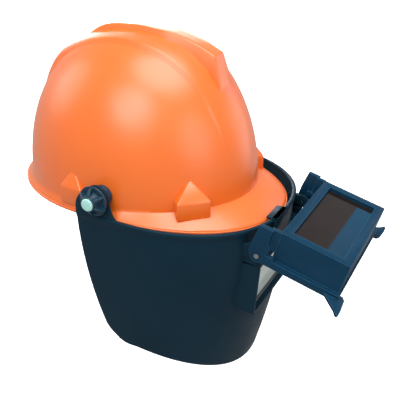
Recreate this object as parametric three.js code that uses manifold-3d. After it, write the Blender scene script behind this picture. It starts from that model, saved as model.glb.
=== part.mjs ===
// A hard hat with a lift-up welding mask and a flip-up filter holder.
// Millimetres. +X is the wearer's left, -Y the front, +Z up.
// The origin is the middle of the head opening, on the plane of the brim.
import * as THREE from 'three';
import Module from 'manifold-3d';
import { mergeVertices } from 'three/addons/utils/BufferGeometryUtils.js';

const wasm = await Module();
wasm.setup();

// Clearances
const GAP = 0.3; // between pieces that touch
const SINK = 1; // how far a joined piece reaches into the one it grows from
const FAR = 200; // a length past every wall, for cutting tools
const BEHIND = 50; // how far the window's cut runs on behind its housing

// Hat shell: a superellipsoid dome, its raised bands, slot bosses and brim
const SHELL = {
  halfWidth: 99.9, halfLength: 119.6, crown: 144.3, centreY: 3.6, wall: 2.5,
  planPower: 1.94, risePower: 2.22,
};
const BRIM = {
  footHeight: 5.4, side: 3.9, peak: 31.3, rear: 10.9, peakPower: 2.1, rearPower: 1.9,
  sideDrop: 0.2, peakDrop: 10, rearDrop: 2.4, dropPower: 1.1, lip: 3, lipWidth: 3,
};
const BAND = { halfWidth: 33, rise: 3.4, draft: 3.5 };
const RIB = {
  halfWidth: 12.5, height: 151.5, draft: 4, back: 76, nose: 79.5, noseDrop: 21, noseRake: 12, noseDraft: 6,
};
const BOSS = {
  front: { bearing: 41, width: 31, depth: 9, root: 1.2, bottom: 0.3, top: 16.5, apex: 35 },
  rear: { bearing: 97, width: 26, depth: 3.4, root: 1.2, bottom: 4, top: 20, apex: 37 },
};

// Mask: a curved sheet with a thick rim, ears at the pivots and a window housing
const MASK = {
  clearance: 1.4, wall: 2.8, frontClearance: 1.4, centreY: -21.6,
  planPower: 2.35, chinPower: 2.05, rearPower: 3.2, rimHeight: 2.3, rimSlope: 0.055, rimDepth: 5, rimWall: 4,
  sideDepth: 140, chinDepth: 180.5, chinPull: 1.15, rearEdge: 9, rearSweep: 25, cornerRadius: 22,
  sideTaper: 5.4, sideCurve: 11.1, frontTaper: 10.5, frontCurve: 18.2,
};
const PAD = { left: -28, right: -1, clearance: 0.8, depth: 9, raise: 1, shelf: 6, shelfThickness: 1.7 };
const PIVOT = { y: -15.2, z: 19.3, bolt: 2.5, headRadius: 7, headThickness: 2 };
const EAR = { radius: 12.5, fillet: 11, reachDown: 10, rearShoulder: 6, shoulderBearing: 35 };
const SPACER = { radius: 9.5 };
const KNOB = {
  radius: 14, disc: 5.2, draft: 2, hubRadius: 8, hubTopRadius: 6.8, hubHeight: 8,
  wings: 6, wingWidth: 2.4, wingEdge: 1, wingFoot: 2.4, wingTop: 6.8,
  capRadius: 5.8, capHeight: 2.2, capSunk: 1.1, capBevel: 0.7, boltShort: 3,
};

// Clear window in the mask
const WINDOW = {
  stand: 2.4, top: -38.4, overWidth: 2.8, overHeight: 2.4, lean: 4.4, wall: 2.2,
  recess: 7.5, glass: 2, lip: 2, lipInset: 4.5, depth: 34, gasket: 2.2, gasketProud: 0.9,
};

// Filter holder that flips up on two pins
const HINGE = {
  inset: 1.2, z: -23.2, pin: 1.5, headRadius: 2.3, head: 0.8, open: 74.9,
  lugRadius: 6.4, lugWidth: 5.4, webWidth: 2.6, webStart: 11.3, webInset: 2.3,
};
const HOLDER = {
  sideRoom: 4.1, endRoom: 3.85, offset: 12.4, depth: 29.9, wall: 2.2, bezel: 3.4, margin: 8.3,
  flange: 4.7, flangeTop: 1.3, flangePlate: 2.4, skirt: 6.5, skirtWall: 2.2, flangeStart: 4.4,
  flangeEnd: 2.2, endBevel: 5, endBevelRun: 12,
};
const ARM = {
  width: 4.4, reach: 8.4, front: 6.6, height: 30, ledge: 12, ledgeBottom: 7.4, ledgeWidth: 3,
  link: 2, linkStart: 4, tieTop: 4.3, tieStart: 4.6, tieOverlap: 2, rearBearing: 50, webFoot: 9.5,
};
const FILTER = { width: 108, height: 51, thickness: 3, retainer: 2, retainerInset: 4 };
const TAB = { start: 64.5, end: 83.8, reach: 21, root: 6.8, rootShare: 0.62, thickness: 2.6, drop: 1.4 };

// Faceting: how many steps each curved form takes
const STEPS = {
  around: 56, dome: 11, inner: 8, maskColumns: 34, maskRows: 12, maskCrowding: 1.5,
  round: 20, small: 12, crown: 0.7, tangent: 1,
};

const rad = THREE.MathUtils.degToRad;
const mix = THREE.MathUtils.lerp;
const vec = (x, y, z) => new THREE.Vector3(x, y, z);
const signedPower = (value, power) => Math.sign(value) * Math.abs(value) ** power;
const range = (count) => Array.from({ length: count }, (_, index) => index);

// Closed solids

function meshSolid(geometry) {
  const bare = geometry.clone();
  bare.deleteAttribute('normal');
  bare.deleteAttribute('uv');
  const merged = mergeVertices(bare, 1e-4);
  const index = Array.from(merged.index.array);
  const position = merged.attributes.position.array;
  const triangles = [];
  for (let i = 0; i < index.length; i += 3) {
    const [a, b, c] = index.slice(i, i + 3);
    if (a !== b && b !== c && c !== a) triangles.push(a, b, c);
  }
  if (signedVolume(position, triangles) < 0) triangles.reverse();
  return new wasm.Manifold(new wasm.Mesh({
    numProp: 3, vertProperties: new Float32Array(position), triVerts: new Uint32Array(triangles),
  }));
}

function signedVolume(position, triangles) {
  const corner = (index) => new THREE.Vector3().fromArray(position, 3 * index);
  let volume = 0;
  for (let i = 0; i < triangles.length; i += 3) {
    const [a, b, c] = [0, 1, 2].map((step) => corner(triangles[i + step]));
    volume += a.dot(b.cross(c)) / 6;
  }
  return volume;
}

// A body through rings of points. An end closes on its tip, or across the ring where it has none.
function lofted(rings, startTip = null, endTip = null) {
  const count = rings[0].length;
  const points = rings.flat();
  const index = [];
  for (let row = 0; row + 1 < rings.length; row += 1) {
    for (let i = 0; i < count; i += 1) {
      const next = (i + 1) % count;
      const [near, far] = [row * count, (row + 1) * count];
      const [a, b, c, d] = [near + i, near + next, far + next, far + i];
      index.push(a, b, c, a, c, d);
    }
  }
  closeEnd(index, points, 0, count, startTip, true);
  closeEnd(index, points, (rings.length - 1) * count, count, endTip, false);
  const geometry = new THREE.BufferGeometry().setFromPoints(points);
  geometry.setIndex(index);
  return meshSolid(geometry);
}

function closeEnd(index, points, first, count, tip, reversed) {
  const add = (a, b, c) => (reversed ? index.push(a, c, b) : index.push(a, b, c));
  if (tip) {
    points.push(tip);
    for (let i = 0; i < count; i += 1) add(points.length - 1, first + i, first + ((i + 1) % count));
    return;
  }
  for (let i = 0; i + 1 < count / 2; i += 1) {
    const [a, b, c, d] = [first + i, first + i + 1, first + count - 2 - i, first + count - 1 - i];
    add(a, b, c);
    add(a, c, d);
  }
}

function boxSolid(min, max, matrix = new THREE.Matrix4()) {
  const size = max.clone().sub(min);
  const centre = max.clone().add(min).multiplyScalar(0.5);
  const geometry = new THREE.BoxGeometry(size.x, size.y, size.z).translate(centre.x, centre.y, centre.z);
  return meshSolid(geometry.applyMatrix4(matrix));
}

function rodX(radius, from, to, y, z, sides = STEPS.round) {
  const geometry = new THREE.CylinderGeometry(radius, radius, to - from, sides);
  geometry.rotateZ(Math.PI / 2).translate((from + to) / 2, y, z);
  return meshSolid(geometry);
}

// A profile drawn in (y, z) and carried along X
function plateX(shape, from, to) {
  const geometry = new THREE.ExtrudeGeometry(shape, {
    depth: to - from, bevelEnabled: false, curveSegments: STEPS.small,
  });
  const turn = new THREE.Matrix4().makeBasis(vec(0, 1, 0), vec(0, 0, 1), vec(1, 0, 0));
  return meshSolid(geometry.applyMatrix4(turn).translate(from, 0, 0));
}

const mirrored = (solid) => solid.mirror([1, 0, 0]);

function node(name, solid, colour, roughness, metalness = 0) {
  const mesh = solid.getMesh();
  const geometry = new THREE.BufferGeometry();
  geometry.setAttribute('position', new THREE.BufferAttribute(new Float32Array(mesh.vertProperties), 3));
  geometry.setIndex(Array.from(mesh.triVerts));
  geometry.computeVertexNormals();
  const finish = new THREE.MeshStandardMaterial({ color: colour, roughness, metalness });
  const part = new THREE.Mesh(geometry, finish);
  part.name = name;
  return part;
}

// Hat shell

// Share of the full plan size that the dome has at a height
const domeShare = (z, grow = 0) => {
  const share = THREE.MathUtils.clamp(z / (SHELL.crown + grow), 0, 1);
  return (1 - share ** SHELL.risePower) ** (1 / SHELL.risePower);
};

function domePoint(bearing, z, grow = 0) {
  const share = domeShare(z, grow);
  const power = 2 / SHELL.planPower;
  return vec(
    (SHELL.halfWidth + grow) * share * signedPower(Math.sin(bearing), power),
    SHELL.centreY - (SHELL.halfLength + grow) * share * signedPower(Math.cos(bearing), power),
    z,
  );
}

// Height of the dome over a point of the plan
function domeHeight(x, y, grow = 0) {
  const across = Math.abs(x / (SHELL.halfWidth + grow)) ** SHELL.planPower;
  const along = Math.abs((y - SHELL.centreY) / (SHELL.halfLength + grow)) ** SHELL.planPower;
  const plan = (across + along) ** (1 / SHELL.planPower);
  return (SHELL.crown + grow) * Math.max(0, 1 - plan ** SHELL.risePower) ** (1 / SHELL.risePower);
}

const bearings = range(STEPS.around).map((step) => (2 * Math.PI * step) / STEPS.around);

function domeRing(z, grow = 0) {
  return bearings.map((bearing) => domePoint(bearing, z, grow));
}

// Heights of dome rings, from a part of a step below the crown down, closer where the dome turns over
function domeHeights(count, grow, foot) {
  return range(count).map((step) => {
    const angle = rad(90) * (1 - (step + STEPS.crown) / (count - 1 + STEPS.crown));
    return Math.max(foot, (SHELL.crown + grow) * Math.sin(angle) ** (2 / SHELL.risePower));
  });
}

// A full dome, larger or smaller than the shell by grow, that ends below the brim
function domeSolid(grow, bottom, rows = STEPS.inner) {
  const rings = domeHeights(rows, grow, SINK).map((z) => domeRing(z, grow));
  const foot = domeRing(0, grow).map((point) => point.clone().setZ(bottom));
  return lofted([...rings, foot], vec(0, SHELL.centreY, SHELL.crown + grow), vec(0, SHELL.centreY, bottom));
}

const peakY = SHELL.centreY - SHELL.halfLength - BRIM.peak;
const rearY = SHELL.centreY + SHELL.halfLength + BRIM.rear;
const brimHalfWidth = SHELL.halfWidth + BRIM.side;

function brimEdge(bearing) {
  const ahead = Math.cos(bearing) > 0;
  const reach = ahead ? -peakY : rearY;
  const power = 2 / (ahead ? BRIM.peakPower : BRIM.rearPower);
  const x = brimHalfWidth * signedPower(Math.sin(bearing), power);
  return vec(x, -reach * signedPower(Math.cos(bearing), power), 0);
}

function brimDrop(bearing) {
  const along = Math.cos(bearing);
  return mix(BRIM.sideDrop, along > 0 ? BRIM.peakDrop : BRIM.rearDrop, Math.abs(along) ** BRIM.dropPower);
}

// Rings across the brim, as shares of the way from the dome's foot to the edge
const BRIM_TOP = [0.03, 0.16, 0.4, 0.72, 1];
const BRIM_UNDER = [0.86, 0.55, 0.2, 0.02];

function brimRing(share, below = 0, inset = 0) {
  return bearings.map((bearing) => {
    const foot = domePoint(bearing, BRIM.footHeight, -inset);
    const point = foot.lerp(brimEdge(bearing), share);
    const rise = BRIM.footHeight * (1 - share) ** 2 - brimDrop(bearing) * share ** 2;
    return point.setZ(rise - below);
  });
}

function shellBody() {
  const { wall, crown, centreY } = SHELL;
  const outer = domeHeights(STEPS.dome, 0, BRIM.footHeight + SINK).map((z) => domeRing(z));
  const inner = domeHeights(STEPS.inner, -wall, BRIM.footHeight).map((z) => domeRing(z, -wall));
  const rings = [
    ...outer,
    ...BRIM_TOP.map((share) => brimRing(share)),
    brimRing(1, BRIM.lip),
    brimRing(1 - BRIM.lipWidth / BRIM.peak, BRIM.lip),
    ...BRIM_UNDER.map((share) => brimRing(share, wall, wall)),
    ...inner.reverse(),
  ];
  return lofted(rings, vec(0, centreY, crown), vec(0, centreY, crown - wall));
}

// The wide raised band down the middle: angle from the crown (back is positive), rise and width as shares
const BAND_ROWS = [
  { angle: 58, rise: -0.4, width: 0.88 },
  { angle: 49, rise: -0.05, width: 0.92 },
  { angle: 42, rise: 0.8, width: 0.95 },
  { angle: 33, rise: 1.6, width: 0.97 },
  { angle: 20, rise: 1.25, width: 1 },
  { angle: 0, rise: 1, width: 1 },
  { angle: -20, rise: 0.95, width: 1 },
  { angle: -38, rise: 0.6, width: 0.98 },
  { angle: -50, rise: 0.25, width: 0.95 },
  { angle: -60, rise: 0, width: 0.9 },
  { angle: -68, rise: -0.4, width: 0.84 },
];
const BAND_ACROSS = [-1, -0.66, -0.33, 0, 0.33, 0.66, 1];

function bandSolid(inset) {
  const rings = BAND_ROWS.map(({ angle, rise, width }) => {
    const y = SHELL.centreY + SHELL.halfLength * signedPower(Math.sin(rad(angle)), 2 / SHELL.risePower);
    const outward = vec(0, Math.sin(rad(angle)), Math.cos(rad(angle)));
    const half = BAND.halfWidth * width - inset;
    const at = (x, offset) => vec(x, y, domeHeight(x, y)).addScaledVector(outward, offset);
    const top = BAND_ACROSS.map((side) => at(side * half, BAND.rise * rise - inset));
    const base = half + BAND.draft;
    const sunk = -inset - SHELL.wall + GAP;
    return [at(-base, sunk), ...top, at(base, sunk)];
  });
  return lofted(rings);
}

// The middle rib, which leaves the dome towards the front and ends in a raked nose
const RIB_ROWS = [
  { along: 1, fall: 1.6, width: 1.5 },
  { along: 0.72, fall: 0.78, width: 1.4 },
  { along: 0.42, fall: 0.13, width: 1.25 },
  { along: 0, fall: 0, width: 1.05 },
  { along: -0.22, fall: 0.07, width: 1 },
  { along: -0.4, fall: 0.16, width: 0.95 },
  { along: -0.6, fall: 0.37, width: 0.82 },
  { along: -0.8, fall: 0.63, width: 0.74 },
  { along: -1, fall: 1, width: 0.72 },
];

function ribSolid(inset) {
  const rings = RIB_ROWS.map(({ along, fall, width }, row) => {
    const nose = row === RIB_ROWS.length - 1;
    const y = along * (along > 0 ? RIB.back : RIB.nose);
    const topY = nose ? y + inset : y;
    const baseY = nose ? y - RIB.noseRake + inset : y;
    const half = RIB.halfWidth * width - inset;
    const base = half + (nose ? RIB.noseDraft : RIB.draft);
    const top = RIB.height - RIB.noseDrop * fall - inset;
    const foot = domeHeight(0, baseY) - 2 * BAND.rise;
    return [vec(half, topY, top), vec(base, baseY, foot), vec(-base, baseY, foot), vec(-half, topY, top)];
  });
  return lofted(rings);
}

// A suspension slot boss: a block on the dome's foot with a pyramid top
function bossSolid({ bearing, width, depth, root, bottom, top, apex }) {
  const angle = rad(bearing);
  const face = domePoint(angle, 0);
  const near = rad(STEPS.tangent);
  const ahead = domePoint(angle + near, 0).sub(domePoint(angle - near, 0)).normalize();
  const outward = vec(-ahead.y, ahead.x, 0);
  if (outward.dot(face) < 0) outward.negate();
  const inner = -depth - root;
  const corner = (side, out) => face.clone().addScaledVector(ahead, (side * width) / 2).addScaledVector(outward, out);
  const corners = [corner(1, depth), corner(-1, depth), corner(-1, inner), corner(1, inner)];
  const ring = (z) => corners.map((point) => point.clone().setZ(z));
  return lofted([ring(bottom), ring(top)], null, domePoint(angle, apex, -SINK));
}

function hatShell() {
  let shell = shellBody().add(bandSolid(0)).add(ribSolid(0));
  const bosses = Object.values(BOSS).map(bossSolid);
  for (const boss of bosses) shell = shell.add(boss).add(mirrored(boss));
  const { wall } = SHELL;
  shell = shell.subtract(bandSolid(wall)).subtract(ribSolid(wall)).subtract(domeSolid(-wall, -FAR));
  return shell.subtract(rodX(PIVOT.bolt + GAP, -FAR, FAR, PIVOT.y, PIVOT.z, STEPS.small));
}

// Mask

const maskHalfWidth = brimHalfWidth + MASK.clearance;
const maskFront = peakY - MASK.frontClearance;

// Plan half width, front reach and corner power of the mask's inner face at a height
function maskPlan(z, grow) {
  const depth = Math.max(0, -z) / MASK.chinDepth;
  return {
    halfWidth: maskHalfWidth - MASK.sideTaper * depth - MASK.sideCurve * depth ** 2 + grow,
    reach: MASK.centreY - maskFront - MASK.frontTaper * depth - MASK.frontCurve * depth ** 2 + grow,
    power: 2 / mix(MASK.planPower, MASK.chinPower, Math.min(1, depth)),
    rearPower: 2 / MASK.rearPower,
  };
}

function maskRearEdge(z) {
  const swept = MASK.rearSweep * (Math.max(0, -z) / MASK.sideDepth) ** 2;
  const intoCorner = THREE.MathUtils.clamp(-z - MASK.sideDepth + MASK.cornerRadius, 0, MASK.cornerRadius);
  const cut = MASK.cornerRadius - Math.sqrt(MASK.cornerRadius ** 2 - intoCorner ** 2);
  return MASK.rearEdge - swept - cut;
}

const maskRimZ = (y) => MASK.rimHeight + MASK.rimSlope * (y - MASK.centreY);

// The plan angle at which the mask's face reaches y
function angleAt(y, plan) {
  const behind = y > MASK.centreY;
  const along = Math.abs(y - MASK.centreY) / plan.reach;
  const turn = Math.asin(along ** (1 / (behind ? plan.rearPower : plan.power)));
  return rad(90) + (behind ? turn : -turn);
}

// A point of the mask sheet: side runs from -1 to 1 round the face, down from 0 at the rim to 1
function maskPoint(side, down, grow) {
  const bottom = -mix(MASK.sideDepth, MASK.chinDepth, Math.cos(rad(90) * side) ** MASK.chinPull);
  const plan = maskPlan(down * bottom, grow);
  const angle = side * angleAt(maskRearEdge(down * bottom), plan);
  const power = Math.cos(angle) < 0 ? plan.rearPower : plan.power;
  const x = plan.halfWidth * signedPower(Math.sin(angle), power);
  const y = MASK.centreY - plan.reach * signedPower(Math.cos(angle), power);
  return vec(x, y, mix(maskRimZ(y), bottom, down));
}

function maskSheet() {
  const rimShare = MASK.rimDepth / MASK.chinDepth;
  const underRim = (MASK.rimDepth + SINK / 2) / MASK.chinDepth;
  const last = STEPS.maskRows - 1;
  const crowded = (row) => 1 - (1 - row / last) ** STEPS.maskCrowding;
  const rows = range(STEPS.maskRows).map((row) => mix(underRim, 1, crowded(row)));
  const columns = range(STEPS.maskColumns + 1).map((step) => mix(-1, 1, step / STEPS.maskColumns));
  const rings = columns.map((side) => {
    const down = (shares, grow) => shares.map((share) => maskPoint(side, share, grow));
    const outer = [...down([0, rimShare], MASK.rimWall), ...down(rows, MASK.wall)];
    const inner = down([0, rimShare, ...rows], 0);
    return [...outer, ...inner.reverse()];
  });
  return lofted(rings);
}

// The space inside the mask, grown outwards by grow
const MASK_LEVELS = [0, 0.22, 0.44, 0.66, 1];

function maskSpace(grow) {
  const last = STEPS.maskColumns - 1;
  const angles = range(STEPS.maskColumns).map((step) => mix(-rad(90), rad(90), step / last));
  const rings = MASK_LEVELS.map((level) => angles.map((angle) => {
    const z = mix(SINK, -MASK.chinDepth, level);
    const plan = maskPlan(z, grow);
    const y = MASK.centreY - plan.reach * Math.cos(angle) ** plan.power;
    return vec(plan.halfWidth * signedPower(Math.sin(angle), plan.power), y, z);
  }));
  return lofted(rings);
}

const earInner = maskHalfWidth;
const earOuter = earInner + MASK.wall;

// One ear: a round end about the pivot that widens to the mask's side
function earSolid() {
  const { y, z } = PIVOT;
  const { radius, fillet, reachDown, rearShoulder, shoulderBearing } = EAR;
  const front = y - radius;
  const shape = new THREE.Shape();
  shape.moveTo(front - fillet, -SINK);
  shape.quadraticCurveTo(front, MASK.rimHeight, front, z);
  shape.absarc(y, z, radius, Math.PI, rad(shoulderBearing), true);
  shape.quadraticCurveTo(MASK.rearEdge, z, MASK.rearEdge, rearShoulder);
  shape.lineTo(maskRearEdge(-reachDown), -reachDown);
  shape.lineTo(front - fillet, -reachDown);
  return plateX(shape, earInner, earOuter);
}

// The window's own frame of reference: x across, -y out of the face, -z down it
const windowFront = maskFront - WINDOW.stand;
const windowPose = new THREE.Matrix4().makeRotationX(rad(WINDOW.lean));
windowPose.setPosition(0, windowFront, WINDOW.top);
const holderHalf = FILTER.width / 2 + HOLDER.sideRoom + HOLDER.wall;
const windowHalf = holderHalf - WINDOW.overWidth;
const windowHeight = FILTER.height + WINDOW.overHeight;
const paneBack = WINDOW.recess + WINDOW.glass + GAP;

// A block of the window, inset from its outline all round, between two depths behind its face
function windowBlock(inset, front, back) {
  const min = vec(inset - windowHalf, front, inset - windowHeight);
  return boxSolid(min, vec(windowHalf - inset, back, -inset), windowPose);
}

function withWindow(sheet) {
  const { wall, lip, lipInset, depth } = WINDOW;
  const lipBack = paneBack + lip;
  const housing = windowBlock(0, 0, depth).subtract(maskSpace(-SINK));
  const opened = sheet.add(housing).subtract(windowBlock(wall, -FAR, depth + BEHIND));
  const seated = opened.add(windowBlock(0, paneBack, lipBack));
  return seated.subtract(windowBlock(wall + lipInset, -SINK, lipBack + SINK));
}

// A lug that carries one holder pin in front of the mask
const hingeY = windowFront + HINGE.inset;
const armInner = holderHalf + HOLDER.flange - ARM.width;
const lugOuter = armInner - GAP;
const lugInner = lugOuter - HINGE.lugWidth;

function lugSolid() {
  const { z, lugRadius } = HINGE;
  const plan = maskPlan(z, 0);
  const across = Math.asin((lugInner / plan.halfWidth) ** (1 / plan.power));
  const back = MASK.centreY - plan.reach * Math.cos(across) ** plan.power + SINK;
  const shape = new THREE.Shape();
  shape.moveTo(back, z + lugRadius);
  shape.lineTo(hingeY, z + lugRadius);
  shape.absarc(hingeY, z, lugRadius, rad(90), rad(270), false);
  shape.lineTo(back, z - lugRadius);
  return plateX(shape, lugInner, lugOuter).add(lugWeb(back)).subtract(maskSpace(-SINK / 2));
}

// The web between a lug and the top of the window housing
function lugWeb(back) {
  const { z, lugRadius, webWidth, webStart, webInset } = HINGE;
  const front = windowFront + webInset;
  const shape = new THREE.Shape();
  shape.moveTo(back, z);
  shape.lineTo(hingeY, z - lugRadius + SINK);
  shape.lineTo(front, z - webStart);
  shape.lineTo(front, WINDOW.top - SINK);
  shape.lineTo(back, WINDOW.top - SINK);
  return plateX(shape, lugInner, lugInner + webWidth);
}

// The thick stretch of the rim over the holder, with a shelf that reaches in over the peak
function rimPad() {
  const { left, right, clearance, depth, raise, shelf, shelfThickness } = PAD;
  const rim = maskRimZ(maskFront);
  const top = rim + raise;
  const front = maskFront - MASK.rimWall - SINK;
  const block = boxSolid(vec(left, front, rim - depth), vec(right, maskFront + clearance, top));
  return block.add(boxSolid(vec(left, front, top - shelfThickness), vec(right, maskFront + shelf, top)));
}

function maskShell() {
  const ear = earSolid();
  const lug = lugSolid();
  const sheet = maskSheet().add(ear).add(mirrored(ear)).add(rimPad());
  const pin = rodX(HINGE.pin + GAP, lugInner - SINK, FAR, hingeY, HINGE.z, STEPS.small);
  const mask = withWindow(sheet).add(lug).add(mirrored(lug)).subtract(pin).subtract(mirrored(pin));
  return mask.subtract(rodX(PIVOT.bolt + GAP, -FAR, FAR, PIVOT.y, PIVOT.z, STEPS.small));
}

// Clear window: the pane sits on the housing's lip and a rubber strip runs round in front of it

function windowPane() {
  const back = paneBack - GAP / 2;
  return windowBlock(WINDOW.wall + GAP, back - WINDOW.glass, back);
}

function windowGasket() {
  const { wall, gasket, gasketProud, recess } = WINDOW;
  const back = recess - GAP;
  const strip = windowBlock(wall + GAP, back - gasket, back);
  return strip.subtract(windowBlock(wall + GAP + gasketProud, back - gasket - SINK, back + SINK));
}

// Pivots: a bolt through the shell, a spacer between shell and ear, and a knob outside the ear

// Half width of the dome at a place along it
function domeSide(y, z, grow) {
  const share = domeShare(z, grow);
  const along = Math.abs(y - SHELL.centreY) / ((SHELL.halfLength + grow) * share);
  return (SHELL.halfWidth + grow) * share * (1 - along ** SHELL.planPower) ** (1 / SHELL.planPower);
}

const knobStart = earOuter + GAP;
const knobFace = knobStart + KNOB.disc;
const knobTop = knobFace + KNOB.hubHeight;
const boltEnd = knobTop - KNOB.boltShort;

function spacerSolid() {
  const { y, z, bolt } = PIVOT;
  const start = domeSide(y, z, 0) - 2 * SINK;
  const body = rodX(SPACER.radius, start, earInner - GAP, y, z);
  const bore = rodX(bolt + GAP, 0, FAR, y, z, STEPS.small);
  return body.subtract(bore).subtract(domeSolid(2 * GAP, -SINK, STEPS.dome));
}

function boltSolid() {
  const { y, z, bolt, headRadius, headThickness } = PIVOT;
  const headEnd = domeSide(y - headRadius, z + headRadius, -SHELL.wall) - GAP;
  const head = rodX(headRadius, headEnd - headThickness, headEnd, y, z);
  return head.add(rodX(bolt, headEnd - SINK / 2, boltEnd, y, z, STEPS.small));
}

// A tapering disc along X
function taperX(startRadius, endRadius, start, end) {
  const disc = new THREE.CylinderGeometry(endRadius, startRadius, end - start, STEPS.round);
  return meshSolid(disc.rotateZ(-Math.PI / 2).translate((start + end) / 2, 0, 0));
}

// The radial wings of a knob, each a blade from the hub to the disc's edge
function wingSolids() {
  const { radius, hubRadius, wings, wingWidth, wingEdge, wingFoot, wingTop } = KNOB;
  const outline = new THREE.Shape();
  outline.moveTo(0, knobFace - SINK);
  outline.lineTo(radius - wingEdge, knobFace - SINK);
  outline.lineTo(radius - wingEdge, knobFace + wingFoot);
  outline.lineTo(hubRadius, knobFace + wingTop);
  outline.lineTo(0, knobFace + wingTop);
  const blade = new THREE.ExtrudeGeometry(outline, { depth: wingWidth, bevelEnabled: false });
  const stand = new THREE.Matrix4().makeBasis(vec(0, 1, 0), vec(1, 0, 0), vec(0, 0, -1));
  blade.translate(0, 0, -wingWidth / 2).applyMatrix4(stand);
  return range(wings).map((wing) => {
    const turn = new THREE.Matrix4().makeRotationX((2 * Math.PI * (wing + 0.5)) / wings);
    return meshSolid(blade.clone().applyMatrix4(turn));
  });
}

function knobSolid() {
  const { radius, draft, hubRadius, hubTopRadius, capRadius, capSunk } = KNOB;
  let knob = taperX(radius - draft, radius, knobStart, knobFace);
  knob = knob.add(taperX(hubRadius, hubTopRadius, knobFace - SINK, knobTop));
  for (const wing of wingSolids()) knob = knob.add(wing);
  const seat = rodX(capRadius + GAP, knobTop - capSunk, FAR, 0, 0);
  const bore = rodX(PIVOT.bolt + GAP, 0, boltEnd + GAP, 0, 0, STEPS.small);
  return knob.subtract(seat).subtract(bore).translate([0, PIVOT.y, PIVOT.z]);
}

function capSolid() {
  const { capRadius, capHeight, capSunk, capBevel } = KNOB;
  const base = knobTop - capSunk + GAP;
  return taperX(capRadius, capRadius - capBevel, base, base + capHeight).translate([0, PIVOT.y, PIVOT.z]);
}

// Filter holder, drawn shut about its pins: -z runs from the pins to the far end, -y out of its face

const holderLength = FILTER.height + 2 * (HOLDER.endRoom + HOLDER.wall);
const holderEnd = HOLDER.offset + holderLength;
const holderBox = (half, start, end, low, high) => boxSolid(vec(-half, -high, -end), vec(half, -low, -start));

function holderFrame() {
  const { offset, depth, wall, bezel, margin, flangeTop } = HOLDER;
  const box = holderBox(holderHalf, offset, holderEnd, flangeTop - SINK, depth);
  const hollow = holderBox(holderHalf - wall, offset + wall, holderEnd - wall, -FAR, depth - bezel);
  const light = holderBox(holderHalf - margin, offset + margin, holderEnd - margin, 0, FAR);
  return box.subtract(hollow).subtract(light);
}

// A three-sided flange whose skirt closes round the window housing
function holderFlange() {
  const { wall, offset, flange, flangeTop, flangePlate, skirt, skirtWall } = HOLDER;
  const { flangeStart, flangeEnd, endBevel, endBevelRun } = HOLDER;
  const half = holderHalf + flange;
  const end = holderEnd + flangeEnd;
  const low = skirt - flangeTop;
  const profile = new THREE.Shape();
  profile.moveTo(-flangeTop, -flangeStart);
  profile.lineTo(low, -flangeStart);
  profile.lineTo(low, endBevelRun - end);
  profile.lineTo(low - endBevel, -end);
  profile.lineTo(-flangeTop, -end);
  const block = plateX(profile, -half, half);
  const below = holderBox(half - skirtWall, -FAR, end - skirtWall, -FAR, flangeTop - flangePlate);
  const inside = holderBox(holderHalf - wall, -FAR, holderEnd - wall, -FAR, FAR);
  const hingeSide = holderBox(holderHalf, -FAR, offset, -FAR, FAR);
  return block.subtract(below).subtract(inside).subtract(hingeSide);
}

// The cheek's outline above the pin: up as a share of its height, along as a share of its reach
const CHEEK_FRONT = [
  { up: 1, along: 0.7 }, { up: 1, along: -0.75 }, { up: 0.9, along: -0.66 }, { up: 0.72, along: -0.6 },
  { up: 0.55, along: -0.68 }, { up: 0.43, along: -0.98 }, { up: 0.3, along: -0.98 }, { up: 0.2, along: -0.8 },
];
const CHEEK_BACK = [{ up: 0.06, along: 1 }, { up: 0.45, along: 0.95 }];

// The cheek on each side that turns on the pin and stands up beside the box
function cheekSolid() {
  const { width, reach, front, height, rearBearing } = ARM;
  const corner = ({ up, along }) => new THREE.Vector2(-up * height, along * reach);
  const shape = new THREE.Shape(CHEEK_FRONT.map(corner));
  shape.lineTo(0, -front);
  shape.absarc(0, 0, front, -rad(90), rad(rearBearing), false);
  for (const row of CHEEK_BACK) shape.lineTo(corner(row).x, corner(row).y);
  return plateX(shape, armInner, armInner + width);
}

// A cheek with its ledge, the bar and web to the box and the tie to the flange
function armSolid() {
  const { width, front, ledge, ledgeBottom, ledgeWidth, link, linkStart } = ARM;
  const { tieTop, tieStart, tieOverlap, webFoot } = ARM;
  const { depth, offset, wall, skirt, flangeTop } = HOLDER;
  const outer = armInner + width;
  const bar = boxSolid(
    vec(holderHalf - SINK, -depth, -offset - SINK), vec(armInner + SINK, link - depth, -linkStart),
  );
  const tie = boxSolid(
    vec(armInner, -tieTop, -offset - tieOverlap), vec(outer, skirt - flangeTop, -tieStart),
  );
  const rest = boxSolid(vec(armInner - ledgeWidth, -ledge, -front), vec(armInner + SINK, -ledgeBottom, 0));
  const web = boxSolid(
    vec(holderHalf - wall, -depth, -offset - SINK), vec(armInner + SINK, -webFoot, -linkStart),
  );
  const arm = cheekSolid().add(bar).add(web).add(tie).add(rest);
  return arm.subtract(rodX(HINGE.pin + GAP, 0, FAR, 0, 0, STEPS.small));
}

// A lift tab at each far corner: out as a share of its reach, along as a share of its length
const TAB_OUTLINE = [
  { out: 0, along: 0 }, { out: 0.72, along: 0.74 }, { out: 0.9, along: 0.85 },
  { out: 0.94, along: 0.93 }, { out: 0.86, along: 0.99 }, { out: 0.6, along: 1 },
  { out: -0.1, along: 0.94 }, { out: -0.3, along: 0.82 },
];

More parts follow.
